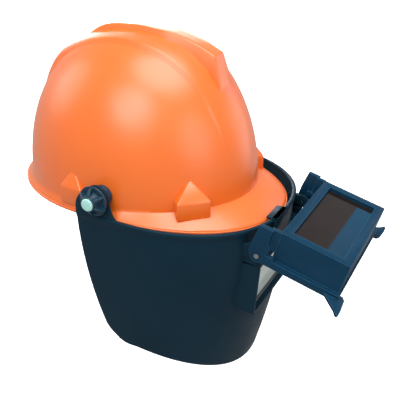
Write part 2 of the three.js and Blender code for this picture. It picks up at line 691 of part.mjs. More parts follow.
function tabSolid() {
  const { start, end, reach, root, rootShare, thickness, drop } = TAB;
  const half = holderHalf + HOLDER.flange;
  const corners = TAB_OUTLINE.map(({ out, along }) => [half + out * reach, mix(start, end, along)]);
  const inner = [[half - root, mix(start, end, rootShare)], [half - root, start]];
  const shape = new THREE.Shape([...corners, ...inner].map(([x, u]) => new THREE.Vector2(x, -u)));
  const tab = new THREE.ExtrudeGeometry(shape, { depth: thickness, bevelEnabled: false });
  const turn = new THREE.Matrix4().makeBasis(vec(1, 0, 0), vec(0, 0, 1), vec(0, -1, 0));
  return meshSolid(tab.applyMatrix4(turn).translate(0, drop + thickness, 0));
}

function lensHolder() {
  const side = armSolid().add(tabSolid());
  return holderFrame().add(holderFlange()).add(side).add(mirrored(side));
}

const glassFront = HOLDER.depth - HOLDER.bezel - GAP;
const filterMiddle = HOLDER.offset + holderLength / 2;

function filterBlock(half, halfHeight, low, high) {
  return holderBox(half, filterMiddle - halfHeight, filterMiddle + halfHeight, low, high);
}

function filterGlass() {
  return filterBlock(FILTER.width / 2, FILTER.height / 2, glassFront - FILTER.thickness, glassFront);
}

// The plain frame behind the dark glass, held by the walls of the box
function filterRetainer() {
  const high = glassFront - FILTER.thickness - GAP;
  const low = high - FILTER.retainer;
  const half = holderHalf - HOLDER.wall - GAP;
  const halfHeight = holderLength / 2 - HOLDER.wall - GAP;
  const inset = half - FILTER.width / 2 + FILTER.retainerInset;
  const frame = filterBlock(half, halfHeight, low, high);
  return frame.subtract(filterBlock(half - inset, FILTER.height / 2 - FILTER.retainerInset, -FAR, FAR));
}

function hingePin() {
  const { pin, headRadius, head } = HINGE;
  const outer = armInner + ARM.width + GAP;
  const shaft = rodX(pin, lugInner, outer + SINK / 2, 0, 0, STEPS.small);
  return shaft.add(rodX(headRadius, outer, outer + head, 0, 0, STEPS.small));
}

// The assembly

const COLOUR = {
  shell: 0xf07a33, mask: 0x17384a, holder: 0x12466a, clear: 0x9cbcae, dark: 0x2c2523,
  rubber: 0x3b4146, cap: 0xa9d8d0, steel: 0x9a9fa3, spacer: 0x14202b,
};

const hat = new THREE.Group();
hat.add(node('hat_shell', hatShell(), COLOUR.shell, 0.35));
for (const [side, place] of [['left', (solid) => solid], ['right', mirrored]]) {
  hat.add(node(`pivot_bolt_${side}`, place(boltSolid()), COLOUR.steel, 0.4, 1));
  hat.add(node(`pivot_spacer_${side}`, place(spacerSolid()), COLOUR.spacer, 0.5));
  hat.add(node(`knob_${side}`, place(knobSolid()), COLOUR.holder, 0.5));
  hat.add(node(`knob_cap_${side}`, place(capSolid()), COLOUR.cap, 0.5));
}

const holder = new THREE.Group();
holder.position.set(0, hingeY, HINGE.z);
holder.rotation.x = -rad(HINGE.open);
holder.add(node('lens_holder', lensHolder(), COLOUR.holder, 0.45));
holder.add(node('filter_glass', filterGlass(), COLOUR.dark, 0.1));
holder.add(node('filter_retainer', filterRetainer(), COLOUR.mask, 0.6));
holder.add(node('hinge_pin_left', hingePin(), COLOUR.steel, 0.4, 1));
holder.add(node('hinge_pin_right', mirrored(hingePin()), COLOUR.steel, 0.4, 1));

const mask = new THREE.Group();
mask.add(node('mask_shell', maskShell(), COLOUR.mask, 0.45));
mask.add(node('window_pane', windowPane(), COLOUR.clear, 0.1));
mask.add(node('window_gasket', windowGasket(), COLOUR.rubber, 0.7));
mask.add(holder);

export default new THREE.Group().add(hat, mask);
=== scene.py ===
"""Looks of a hard hat with a lift-up welding mask and a flip-up filter holder.

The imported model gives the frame: metres, +X the wearer's left, -Y the front, +Z up,
and the origin in the middle of the head opening on the plane of the brim.
"""

from __future__ import annotations

import logging
import math
from dataclasses import dataclass, field
from enum import Enum
from typing import Callable, Iterable, Sequence

import bmesh
import bpy
from mathutils import Matrix, Vector

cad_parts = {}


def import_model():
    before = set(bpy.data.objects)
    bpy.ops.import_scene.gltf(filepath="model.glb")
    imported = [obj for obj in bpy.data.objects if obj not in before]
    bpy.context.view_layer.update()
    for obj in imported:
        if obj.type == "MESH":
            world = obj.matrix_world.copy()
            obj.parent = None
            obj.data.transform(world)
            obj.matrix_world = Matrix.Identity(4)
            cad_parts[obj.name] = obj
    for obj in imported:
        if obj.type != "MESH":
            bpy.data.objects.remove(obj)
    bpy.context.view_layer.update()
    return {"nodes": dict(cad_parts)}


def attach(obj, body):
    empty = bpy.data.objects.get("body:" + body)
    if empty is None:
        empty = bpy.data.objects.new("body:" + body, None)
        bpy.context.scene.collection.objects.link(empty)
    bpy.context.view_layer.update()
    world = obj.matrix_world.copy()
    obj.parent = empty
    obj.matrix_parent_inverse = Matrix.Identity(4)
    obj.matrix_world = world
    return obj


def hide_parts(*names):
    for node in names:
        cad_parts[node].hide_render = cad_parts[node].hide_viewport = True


LOG = logging.getLogger("hard_hat")
MM = 0.001

Colour = tuple[float, float, float]
Row = tuple[float, float]


class Body(str, Enum):
    """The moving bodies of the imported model."""

    HAT = "hat"
    MASK = "mask"
    HOLDER = "holder"
    KNOB_LEFT = "knob_l"
    KNOB_RIGHT = "knob_r"


class Side(Enum):
    """The wearer's side, with its sign along X."""

    LEFT = 1
    RIGHT = -1

    @property
    def word(self) -> str:
        """The side's name in lower case."""
        return self.name.lower()


# Numbers and curves


def mix(low: float, high: float, share: float) -> float:
    """The value a share of the way from low to high."""
    return low + (high - low) * share


def clamp(value: float, low: float = 0.0, high: float = 1.0) -> float:
    """The value kept between low and high."""
    return max(low, min(high, value))


def ease(share: float) -> float:
    """A smooth step from 0 to 1 as share goes from 0 to 1."""
    kept = clamp(share)
    return kept * kept * (3 - 2 * kept)


def power(value: float, exponent: float) -> float:
    """The value's size raised to an exponent, with its sign kept."""
    return math.copysign(abs(value) ** exponent, value)


def bend(start: Row, middle: Row, end: Row, share: float) -> Row:
    """A point of the curve from start to end that leans towards the middle point."""
    near, far = (1 - share) ** 2, share * share
    between = 2 * share * (1 - share)
    return tuple(near * a + between * b + far * c for a, b, c in zip(start, middle, end))


def curve(rows: Sequence[Row], place: float) -> float:
    """Reads a smooth curve through the rows of a table.

    Args:
        rows: Pairs of place and value, with places that rise.
        place: Where to read the curve.

    Returns:
        The value there, or the end value beyond the table.
    """
    if place <= rows[0][0]:
        return rows[0][1]
    if place >= rows[-1][0]:
        return rows[-1][1]
    last = len(rows) - 1
    at = next(i for i in range(last) if rows[i + 1][0] >= place)
    before, after = rows[max(0, at - 1)], rows[min(last, at + 2)]
    start, end = rows[at], rows[at + 1]
    span = end[0] - start[0]
    lead = span * (end[1] - before[1]) / (end[0] - before[0])
    trail = span * (after[1] - start[1]) / (after[0] - start[0])
    t = (place - start[0]) / span
    return (
        start[1] * (2 * t**3 - 3 * t**2 + 1)
        + lead * (t**3 - 2 * t**2 + t)
        + end[1] * (3 * t**2 - 2 * t**3)
        + trail * (t**3 - t**2)
    )


# Meshes


def surface(columns: int, rows: int, place: Callable[[int, int], Vector]) -> bmesh.types.BMesh:
    """A grid laid on a surface.

    Args:
        columns: Faces across.
        rows: Faces along.
        place: Gives the point in millimetres for a column and a row.

    Returns:
        The mesh, in metres.
    """
    mesh = bmesh.new()
    bmesh.ops.create_grid(mesh, x_segments=columns, y_segments=rows, size=1.0)
    for vertex in mesh.verts:
        column = round((vertex.co.x + 1) / 2 * columns)
        row = round((vertex.co.y + 1) / 2 * rows)
        vertex.co = place(column, row) * MM
    bmesh.ops.remove_doubles(mesh, verts=mesh.verts, dist=0.002 * MM)
    bmesh.ops.recalc_face_normals(mesh, faces=mesh.faces)
    return mesh


def closed(mesh: bmesh.types.BMesh) -> bmesh.types.BMesh:
    """Fills what is left open at a mesh's ends."""
    bmesh.ops.holes_fill(mesh, edges=[edge for edge in mesh.edges if edge.is_boundary], sides=0)
    bmesh.ops.recalc_face_normals(mesh, faces=mesh.faces)
    return mesh


def block(low: Vector, high: Vector, bevel: float = 0.0) -> bmesh.types.BMesh:
    """A box between two corners in millimetres, with its edges rounded by bevel."""
    mesh = bmesh.new()
    bmesh.ops.create_cube(mesh, size=1.0)
    middle, span = (low + high) / 2, high - low
    bmesh.ops.scale(mesh, verts=mesh.verts, vec=span * MM)
    bmesh.ops.translate(mesh, verts=mesh.verts, vec=middle * MM)
    if bevel:
        round_edges(mesh, bevel)
    return mesh


def round_edges(mesh: bmesh.types.BMesh, width: float, angle: float = 35.0, segments: int = 2) -> None:
    """Rounds the edges of a mesh that turn more than an angle.

    Args:
        mesh: The mesh to change.
        width: The rounding's width in millimetres.
        angle: The least turn of an edge, in degrees.
        segments: Faces across the rounding.
    """
    limit = math.radians(angle)
    edges = [edge for edge in mesh.edges if len(edge.link_faces) == 2 and edge.calc_face_angle(0) > limit]
    bmesh.ops.bevel(
        mesh, geom=edges, offset=width * MM, offset_type="OFFSET", segments=segments, profile=0.5,
        affect="EDGES", clamp_overlap=True, material=-1,
    )


def slab(corners: Sequence[Vector], step: Vector, bevel: float, angle: float) -> bmesh.types.BMesh:
    """A flat outline carried along a step.

    Args:
        corners: Corners in millimetres.
        step: The way and length of the slab.
        bevel: The rounding of its edges.
        angle: The least turn of an edge that is rounded, in degrees.

    Returns:
        The mesh, in metres.
    """
    mesh = bmesh.new()
    face = mesh.faces.new([mesh.verts.new(corner * MM) for corner in corners])
    grown = bmesh.ops.extrude_face_region(mesh, geom=[face])["geom"]
    moved = [item for item in grown if isinstance(item, bmesh.types.BMVert)]
    bmesh.ops.translate(mesh, verts=moved, vec=step * MM)
    bmesh.ops.recalc_face_normals(mesh, faces=mesh.faces)
    round_edges(mesh, bevel, angle)
    return mesh


def plate(outline: Sequence[Row], start: float, end: float, bevel: float) -> bmesh.types.BMesh:
    """An outline in (y, z) carried along X.

    Args:
        outline: Corners in millimetres.
        start: Where the plate starts along X.
        end: Where it ends.
        bevel: The rounding of its edges.

    Returns:
        The mesh, in metres.
    """
    return slab([Vector((start, y, z)) for y, z in outline], Vector((end - start, 0, 0)), bevel, 50)


def turned(profile: Sequence[Row], centre: Row, steps: int = 64) -> bmesh.types.BMesh:
    """A profile turned about a line along X.

    Args:
        profile: Pairs of place along X and radius, in millimetres, from one end to the other.
        centre: The line's (y, z).
        steps: Faces round.

    Returns:
        The closed mesh, in metres.
    """
    mesh = bmesh.new()
    y, z = centre
    points = [mesh.verts.new(Vector((x, y, z + radius)) * MM) for x, radius in profile]
    lines = [mesh.edges.new(pair) for pair in zip(points, points[1:])]
    bmesh.ops.spin(
        mesh, geom=points + lines, cent=Vector((0, y, z)) * MM, axis=(1, 0, 0), angle=2 * math.pi,
        steps=steps, use_merge=True, use_duplicate=False,
    )
    bmesh.ops.remove_doubles(mesh, verts=mesh.verts, dist=0.005 * MM)
    bmesh.ops.recalc_face_normals(mesh, faces=mesh.faces)
    return mesh


def join(meshes: Iterable[bmesh.types.BMesh]) -> bmesh.types.BMesh:
    """Puts several meshes into one and frees them."""
    whole = bmesh.new()
    for mesh in meshes:
        passed = bpy.data.meshes.new("passed")
        mesh.to_mesh(passed)
        mesh.free()
        whole.from_mesh(passed)
        bpy.data.meshes.remove(passed)
    return whole


def carved(mesh: bmesh.types.BMesh, core: bmesh.types.BMesh) -> bmesh.types.BMesh:
    """Cuts a core out of a mesh and frees both.

    Args:
        mesh: The closed mesh that is cut.
        core: The closed mesh that is taken away.

    Returns:
        What is left of the mesh.
    """
    items = []
    for part in (mesh, core):
        data = bpy.data.meshes.new("carving")
        part.to_mesh(data)
        part.free()
        items.append(bpy.data.objects.new("carving", data))
        bpy.context.scene.collection.objects.link(items[-1])
    cut = items[0].modifiers.new("cut", "BOOLEAN")
    cut.object, cut.operation, cut.solver = items[1], "DIFFERENCE", "EXACT"
    seen = items[0].evaluated_get(bpy.context.evaluated_depsgraph_get())
    left = bmesh.new()
    left.from_mesh(seen.to_mesh())
    seen.to_mesh_clear()
    for item in items:
        data = item.data
        bpy.data.objects.remove(item)
        bpy.data.meshes.remove(data)
    return left


def mirrored(mesh: bmesh.types.BMesh) -> bmesh.types.BMesh:
    """Turns a mesh into its mirror image across the plane x = 0."""
    bmesh.ops.scale(mesh, verts=mesh.verts, vec=(-1, 1, 1))
    bmesh.ops.reverse_faces(mesh, faces=mesh.faces)
    return mesh


def sided(mesh: bmesh.types.BMesh, side: Side) -> bmesh.types.BMesh:
    """A mesh made for the left, put on a side."""
    return mesh if side is Side.LEFT else mirrored(mesh)


def piece(
    name: str, mesh: bmesh.types.BMesh, finish: bpy.types.Material, body: Body, slot: str,
    stands_for: Sequence[str] = (), sharp: float = 40.0,
) -> bpy.types.Object:
    """Makes an object of a mesh, dresses it and lets it ride on a body.

    Args:
        name: The object's name.
        mesh: Its mesh, which is freed.
        finish: Its material.
        body: The body that carries it.
        slot: The name of a material slot; not used.
        stands_for: The CAD nodes that it replaces.
        sharp: Edges that turn more than this many degrees are shaded as edges.

    Returns:
        The object.
    """
    data = bpy.data.meshes.new(name)
    mesh.to_mesh(data)
    mesh.free()
    data.polygons.foreach_set("use_smooth", [True] * len(data.polygons))
    data.set_sharp_from_angle(angle=math.radians(sharp))
    data.materials.append(finish)
    made = bpy.data.objects.new(name, data)
    bpy.context.scene.collection.objects.link(made)
    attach(made, body.value)
    if stands_for:
        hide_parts(*stands_for)
    LOG.info("%s: %d faces on %s", name, len(data.polygons), body.value)
    return made


def dress(node: bpy.types.Object, finish: bpy.types.Material) -> None:
    """Gives a carried-over node its finish."""
    node.data.materials.clear()
    node.data.materials.append(finish)
    LOG.info("%s: kept from the frame", node.name)


# Finishes


@dataclass
class Desk:
    """A material's node tree with short ways to add nodes."""

    material: bpy.types.Material
    tree: bpy.types.NodeTree = field(init=False)
    shader: bpy.types.Node = field(init=False)
    place: bpy.types.NodeSocket = field(init=False)

    def __post_init__(self) -> None:
        """Opens the tree and finds its shader."""
        self.material.use_nodes = True
        self.tree = self.material.node_tree
        self.shader = self.tree.nodes["Principled BSDF"]
        self.place = self.tree.nodes.new("ShaderNodeTexCoord").outputs["Object"]

    def node(
        self, kind: str, values: dict[str, object] | None = None, **links: bpy.types.NodeSocket,
    ) -> bpy.types.Node:
        """Adds a node.

        Args:
            kind: The node's type.
            values: Values for its inputs by name, or its properties in lower case.
            links: Sockets for its inputs, with spaces as underscores.

        Returns:
            The node.
        """
        made = self.tree.nodes.new(kind)
        for name, value in (values or {}).items():
            if name.islower() and hasattr(made, name):
                setattr(made, name, value)
            else:
                made.inputs[name].default_value = value
        for name, socket in links.items():
            self.tree.links.new(socket, made.inputs[name.replace("_", " ")])
        return made

    def noise(self, scale: float, detail: float = 4.0, stretch: Colour = (1, 1, 1)) -> bpy.types.NodeSocket:
        """Noise on the object's own coordinates, stretched along its axes."""
        mapped = self.node("ShaderNodeMapping", {"Scale": stretch}, Vector=self.place)
        values = {"Scale": scale, "Detail": detail, "Roughness": 0.55}
        return self.node("ShaderNodeTexNoise", values, Vector=mapped.outputs["Vector"]).outputs["Fac"]

    def spread(
        self, source: bpy.types.NodeSocket, low: float, high: float,
        low_in: float = 0.3, high_in: float = 0.7,
    ) -> bpy.types.NodeSocket:
        """Maps a source onto values from low to high."""
        values = {"From Min": low_in, "From Max": high_in, "To Min": low, "To Max": high}
        return self.node("ShaderNodeMapRange", values, Value=source).outputs["Result"]

    def blend(
        self, share: bpy.types.NodeSocket, low: Colour | bpy.types.NodeSocket, high: Colour,
    ) -> bpy.types.NodeSocket:
        """A colour between two by a share, where the lower one may be a socket."""
        made = self.node("ShaderNodeMix", {"data_type": "RGBA"})
        self.tree.links.new(share, made.inputs["Factor"])
        if isinstance(low, bpy.types.NodeSocket):
            self.tree.links.new(low, made.inputs[6])
        else:
            made.inputs[6].default_value = (*low, 1)
        made.inputs[7].default_value = (*high, 1)
        return made.outputs[2]

    def bump(
        self, height: bpy.types.NodeSocket, strength: float, distance: float,
        below: bpy.types.NodeSocket | None = None,
    ) -> bpy.types.NodeSocket:
        """A bump of a height map, laid over the bump below it."""
        values = {"Strength": strength, "Distance": distance * MM}
        made = self.node("ShaderNodeBump", values, Height=height)
        if below:
            self.tree.links.new(below, made.inputs["Normal"])
        return made.outputs["Normal"]

    def pair(self, kind: str, operation: str, *sockets: bpy.types.NodeSocket) -> bpy.types.NodeSocket:
        """Works on two sockets with a maths node and gives its value."""
        made = self.node(kind, {"operation": operation})
        for index, socket in enumerate(sockets):
            self.tree.links.new(socket, made.inputs[index])
        return made.outputs["Value"]

    def painted_edge_highlight(
        self, base: bpy.types.NodeSocket, colour: Colour, reach: float, amount: float,
    ) -> bpy.types.NodeSocket:
        """Paints a highlight: lightens a colour along edges and creases, broken up into patches.

        Args:
            base: The colour to change.
            colour: The painted highlight colour.
            reach: How far the painted highlight reaches from an edge, in millimetres.
            amount: The share of the highlight colour on the sharpest edges.

        Returns:
            The changed colour.
        """
        # Painted highlight: where the rounded normal turns from the true one, at convex edges and in creases,
        # the colour is lightened.
        eased = self.node("ShaderNodeBevel", {"samples": 6, "Radius": reach * MM}).outputs["Normal"]
        true = self.node("ShaderNodeNewGeometry").outputs["Normal"]
        along = self.pair("ShaderNodeVectorMath", "DOT_PRODUCT", eased, true)
        edge = self.spread(along, amount, 0.0, 0.86, 0.995)
        patches = self.spread(self.noise(180, 3), 0.45, 1.0)
        return self.blend(self.pair("ShaderNodeMath", "MULTIPLY", edge, patches), base, colour)

    def feed(self, name: str, socket: bpy.types.NodeSocket) -> None:
        """Links a socket to one of the shader's inputs."""
        self.tree.links.new(socket, self.shader.inputs[name])

    def fix(self, **values: object) -> None:
        """Sets the shader's own values, with spaces as underscores."""
        for name, value in values.items():
            self.shader.inputs[name.replace("_", " ")].default_value = value


@dataclass(frozen=True)
class MouldedPlastic:
    """Moulded plastic: a drifting colour, a fine grain, flow marks, light scuffs and a painted highlight on
    its edges.
    """

    name: str
    colour: Colour
    drift: Colour
    # The colour painted onto edges and creases as a highlight.
    edge_highlight_colour: Colour
    roughness: float
    roughness_spread: float = 0.08
    specular: float = 0.5
    coat: float = 0.0
    coat_roughness: float = 0.15
    grain_scale: float = 900.0
    grain: float = 0.06
    wave: float = 0.02
    scuffs: float = 0.03
    subsurface: float = 0.0
    # Reach and share of the painted edge highlight.
    edge_highlight_reach: float = 0.8
    edge_highlight: float = 0.5

    def build(self) -> bpy.types.Material:
        """Makes the material.

        Returns:
            The material.
        """
        desk = Desk(bpy.data.materials.new(self.name))
        cloud = desk.noise(14, 3)
        drifting = desk.blend(desk.spread(cloud, 0, 1), self.colour, self.drift)
        # Painted highlight: edges and creases lightened towards the highlight colour.
        desk.feed("Base Color", desk.painted_edge_highlight(drifting, self.edge_highlight_colour, self.edge_highlight_reach, self.edge_highlight))
        low, high = self.roughness - self.roughness_spread, self.roughness + self.roughness_spread
        desk.feed("Roughness", desk.spread(desk.noise(60, 5), low, high))
        flow = desk.bump(desk.noise(22, 2), self.wave, 1.0)
        scuffs = desk.bump(desk.noise(240, 2, (1, 6, 1)), self.scuffs, 0.08, flow)
        desk.feed("Normal", desk.bump(desk.noise(self.grain_scale, 2), self.grain, 0.12, scuffs))
        desk.fix(Specular_IOR_Level=self.specular, Coat_Weight=self.coat, Coat_Roughness=self.coat_roughness)
        if self.subsurface:
            desk.fix(Subsurface_Weight=self.subsurface, Subsurface_Radius=(0.004, 0.0016, 0.0006))
        return desk.material


@dataclass(frozen=True)
class Pane:
    """A clear or dark pane with faint smears."""

    name: str
    colour: Colour
    smear: Colour
    roughness: float
    transmission: float = 0.0
    specular: float = 0.5
    coat: float = 0.0

    def build(self) -> bpy.types.Material:
        """Makes the material.

        Returns:
            The material.
        """
        desk = Desk(bpy.data.materials.new(self.name))
        smears = desk.noise(26, 4, (1, 1, 3))
        desk.feed("Base Color", desk.blend(desk.spread(smears, 0, 1), self.colour, self.smear))
        desk.feed("Roughness", desk.spread(desk.noise(90, 4), self.roughness, self.roughness * 2.2))
        desk.feed("Normal", desk.bump(desk.noise(9, 1), 0.015, 1.0))
        desk.fix(
            Transmission_Weight=self.transmission, IOR=1.5, Specular_IOR_Level=self.specular,
            Coat_Weight=self.coat, Coat_Roughness=0.03,
        )
        return desk.material


@dataclass(frozen=True)
class Steel:
    """Turned steel with fine rings, a dull film and a painted highlight on its edges."""

    name: str
    colour: Colour
    film: Colour
    # The colour painted onto edges as a highlight.
    steel_edge_highlight: Colour = (0.62, 0.63, 0.65)
    roughness: float = 0.32

    def build(self) -> bpy.types.Material:
        """Makes the material.

        Returns:
            The material.
        """
        desk = Desk(bpy.data.materials.new(self.name))
        filmed = desk.blend(desk.spread(desk.noise(120, 5), 0, 1), self.colour, self.film)
        # Painted highlight: edges lightened towards the bright colour.
        desk.feed("Base Color", desk.painted_edge_highlight(filmed, self.steel_edge_highlight, 0.4, 0.7))
        rings = (12, 1, 1)
        desk.feed("Roughness", desk.spread(desk.noise(700, 3, rings), self.roughness, self.roughness + 0.2))
        desk.feed("Normal", desk.bump(desk.noise(900, 2, rings), 0.08, 0.05))
        desk.fix(Metallic=1.0)
        return desk.material


@dataclass(frozen=True)
class Finishes:
    """Every material of the object."""

    shell: bpy.types.Material
    mask: bpy.types.Material
    holder: bpy.types.Material
    knob: bpy.types.Material
    cap: bpy.types.Material
    rubber: bpy.types.Material
    clear: bpy.types.Material
    dark: bpy.types.Material
    steel: bpy.types.Material

    @staticmethod
    def build() -> "Finishes":
        """Makes every material.

        Returns:
            The set of them.
        """
        # The fourth colour of each plastic is its painted edge highlight.
        return Finishes(
            shell=MouldedPlastic(
                "orange_shell_plastic", (0.80, 0.150, 0.012), (0.77, 0.134, 0.009), (0.90, 0.30, 0.10),
                roughness=0.38, roughness_spread=0.04, coat=0.6, coat_roughness=0.3, grain_scale=700,
                grain=0.02, wave=0.03, scuffs=0.01, subsurface=0.05,
            ).build(),
            mask=MouldedPlastic(
                "mask_plastic", (0.0038, 0.0200, 0.0350), (0.0050, 0.0245, 0.0420), (0.030, 0.075, 0.105),
                roughness=0.42, roughness_spread=0.06, specular=0.09, grain_scale=1100, grain=0.14, wave=0.03,
            ).build(),
            holder=MouldedPlastic(
                "holder_plastic", (0.0034, 0.0285, 0.0610), (0.0046, 0.0340, 0.0710), (0.060, 0.17, 0.26),
                roughness=0.38, roughness_spread=0.07, specular=0.11, grain_scale=1100, grain=0.1, edge_highlight=0.7,
            ).build(),
            knob=MouldedPlastic(
                "knob_plastic", (0.0060, 0.0290, 0.0540), (0.0085, 0.0370, 0.0670), (0.075, 0.19, 0.26),
                roughness=0.3, roughness_spread=0.06, specular=0.35, grain_scale=1300, grain=0.1,
                edge_highlight_reach=0.6, edge_highlight=0.6,
            ).build(),
            cap=MouldedPlastic(
                "mint_cap_plastic", (0.36, 0.66, 0.60), (0.42, 0.72, 0.66), (0.55, 0.80, 0.75),
                roughness=0.4, roughness_spread=0.06, grain_scale=1500, grain=0.08, subsurface=0.1,
            ).build(),
            rubber=MouldedPlastic(
                "grey_rubber", (0.10, 0.11, 0.12), (0.13, 0.14, 0.15), (0.22, 0.23, 0.24),
                roughness=0.75, specular=0.3, grain_scale=1600, grain=0.3,
            ).build(),
            clear=Pane(
                "clear_window", (0.80, 0.91, 0.85), (0.84, 0.95, 0.89), 0.1, transmission=0.1, coat=0.3,
            ).build(),
            dark=Pane(
                "dark_glass", (0.012, 0.008, 0.007), (0.016, 0.011, 0.010), 0.03, specular=0.25,
            ).build(),
            steel=Steel("dull_steel", (0.34, 0.35, 0.37), (0.26, 0.27, 0.29)).build(),
        )


# Hat


@dataclass(frozen=True)
class Dome:
    """The form of the shell's dome, in millimetres."""

    half_width: float = 99.9
    half_length: float = 119.6
    crown: float = 144.3
    centre_y: float = 3.6
    wall: float = 2.5
    plan_power: float = 1.94
    rise_power: float = 2.22

    def share(self, z: float, grow: float = 0.0) -> float:
        """The share of its full plan size that the dome has at a height."""
        return (1 - clamp(z / (self.crown + grow)) ** self.rise_power) ** (1 / self.rise_power)

    def point(self, bearing: float, z: float, grow: float = 0.0) -> Vector:
        """The point of the dome at a bearing from the front and a height."""
        share, exponent = self.share(z, grow), 2 / self.plan_power
        x = (self.half_width + grow) * share * power(math.sin(bearing), exponent)
        y = self.centre_y - (self.half_length + grow) * share * power(math.cos(bearing), exponent)
        return Vector((x, y, z))

    def height(self, x: float, y: float, grow: float = 0.0) -> float:
        """The height of the dome over a point of the plan."""
        across = abs(x / (self.half_width + grow)) ** self.plan_power
        along = abs((y - self.centre_y) / (self.half_length + grow)) ** self.plan_power
        plan = (across + along) ** (1 / self.plan_power)
        return (self.crown + grow) * max(0.0, 1 - plan**self.rise_power) ** (1 / self.rise_power)

    def level(self, share: float, grow: float = 0.0) -> float:
        """The height at a share of the way from the crown to the foot, in even steps of turn."""
        return (self.crown + grow) * math.cos(share * math.pi / 2) ** (2 / self.rise_power)


@dataclass(frozen=True)
class Brim:
    """The form of the brim round the dome, in millimetres."""

    foot: float = 5.4
    side: float = 3.9
    peak: float = 31.3
    rear: float = 10.9
    peak_power: float = 2.1
    rear_power: float = 1.9
    side_drop: float = 0.2
    peak_drop: float = 10.0
    rear_drop: float = 2.4
    drop_power: float = 1.1
    lip: tuple[Row, ...] = (
        (-1.4, 0.06), (-0.7, 0.12), (-0.25, 0.4), (-0.03, 0.9), (0.0, 1.5), (-0.05, 2.2), (-0.3, 2.7),
        (-0.8, 2.95), (-1.6, 3.0), (-2.2, 2.9), (-2.6, 2.5),
    )
    lip_lead: float = 1.15
    under_lead: float = 3.0
    top_steps: int = 18
    under_steps: int = 14


@dataclass(frozen=True)
class Band:
    """The wide raised band down the middle of the dome."""

    half_width: float = 33.0
    rise: float = 3.4
    sunk: float = -1.2
    rises: tuple[Row, ...] = (
        (-64, -0.15), (-60, 0), (-50, 0.25), (-38, 0.6), (-20, 0.95), (0, 1), (20, 1.25),
        (33, 1.6), (42, 0.8), (49, -0.05), (53, -0.15),
    )
    widths: tuple[Row, ...] = (
        (-68, 0.84), (-60, 0.9), (-50, 0.95), (-38, 0.98), (-20, 1), (20, 1), (33, 0.97),
        (42, 0.95), (49, 0.92), (58, 0.88),
    )
    edge: tuple[Row, ...] = (
        (-3.0, 1.0), (-1.5, 1.0), (-0.8, 0.985), (-0.25, 0.93), (0.2, 0.82), (0.6, 0.66),
        (1.3, 0.34), (2.2, 0.0),
    )
    foot: float = 3.6
    across: int = 26
    along: int = 110


@dataclass(frozen=True)
class Rib:
    """The middle rib and its raked nose."""

    half_width: float = 12.5
    height: float = 151.5
    draft: float = 4.0
    back: float = 76.0
    nose: float = 79.5
    drop: float = 21.0
    rake: float = 12.0
    nose_draft: float = 6.0
    foot: float = 6.8
    falls: tuple[Row, ...] = (
        (-1, 1), (-0.8, 0.63), (-0.6, 0.37), (-0.4, 0.16), (-0.22, 0.07), (0, 0), (0.42, 0.13),
        (0.72, 0.78), (1, 1.6),
    )
    widths: tuple[Row, ...] = (
        (-1, 0.72), (-0.8, 0.74), (-0.6, 0.82), (-0.4, 0.95), (-0.22, 1), (0, 1.05), (0.42, 1.25),
        (0.72, 1.4), (1, 1.5),
    )
    rake_start: float = -0.8
    bevel: float = 1.1
    steps: int = 60


@dataclass(frozen=True)
class SlotBoss:
    """A block on the dome's foot with a pyramid top."""

    name: str
    bearing: float
    width: float
    depth: float
    bottom: float
    top: float
    apex: float
    root: float = 1.2
    sink: float = 1.0
    bevel: float = 1.3


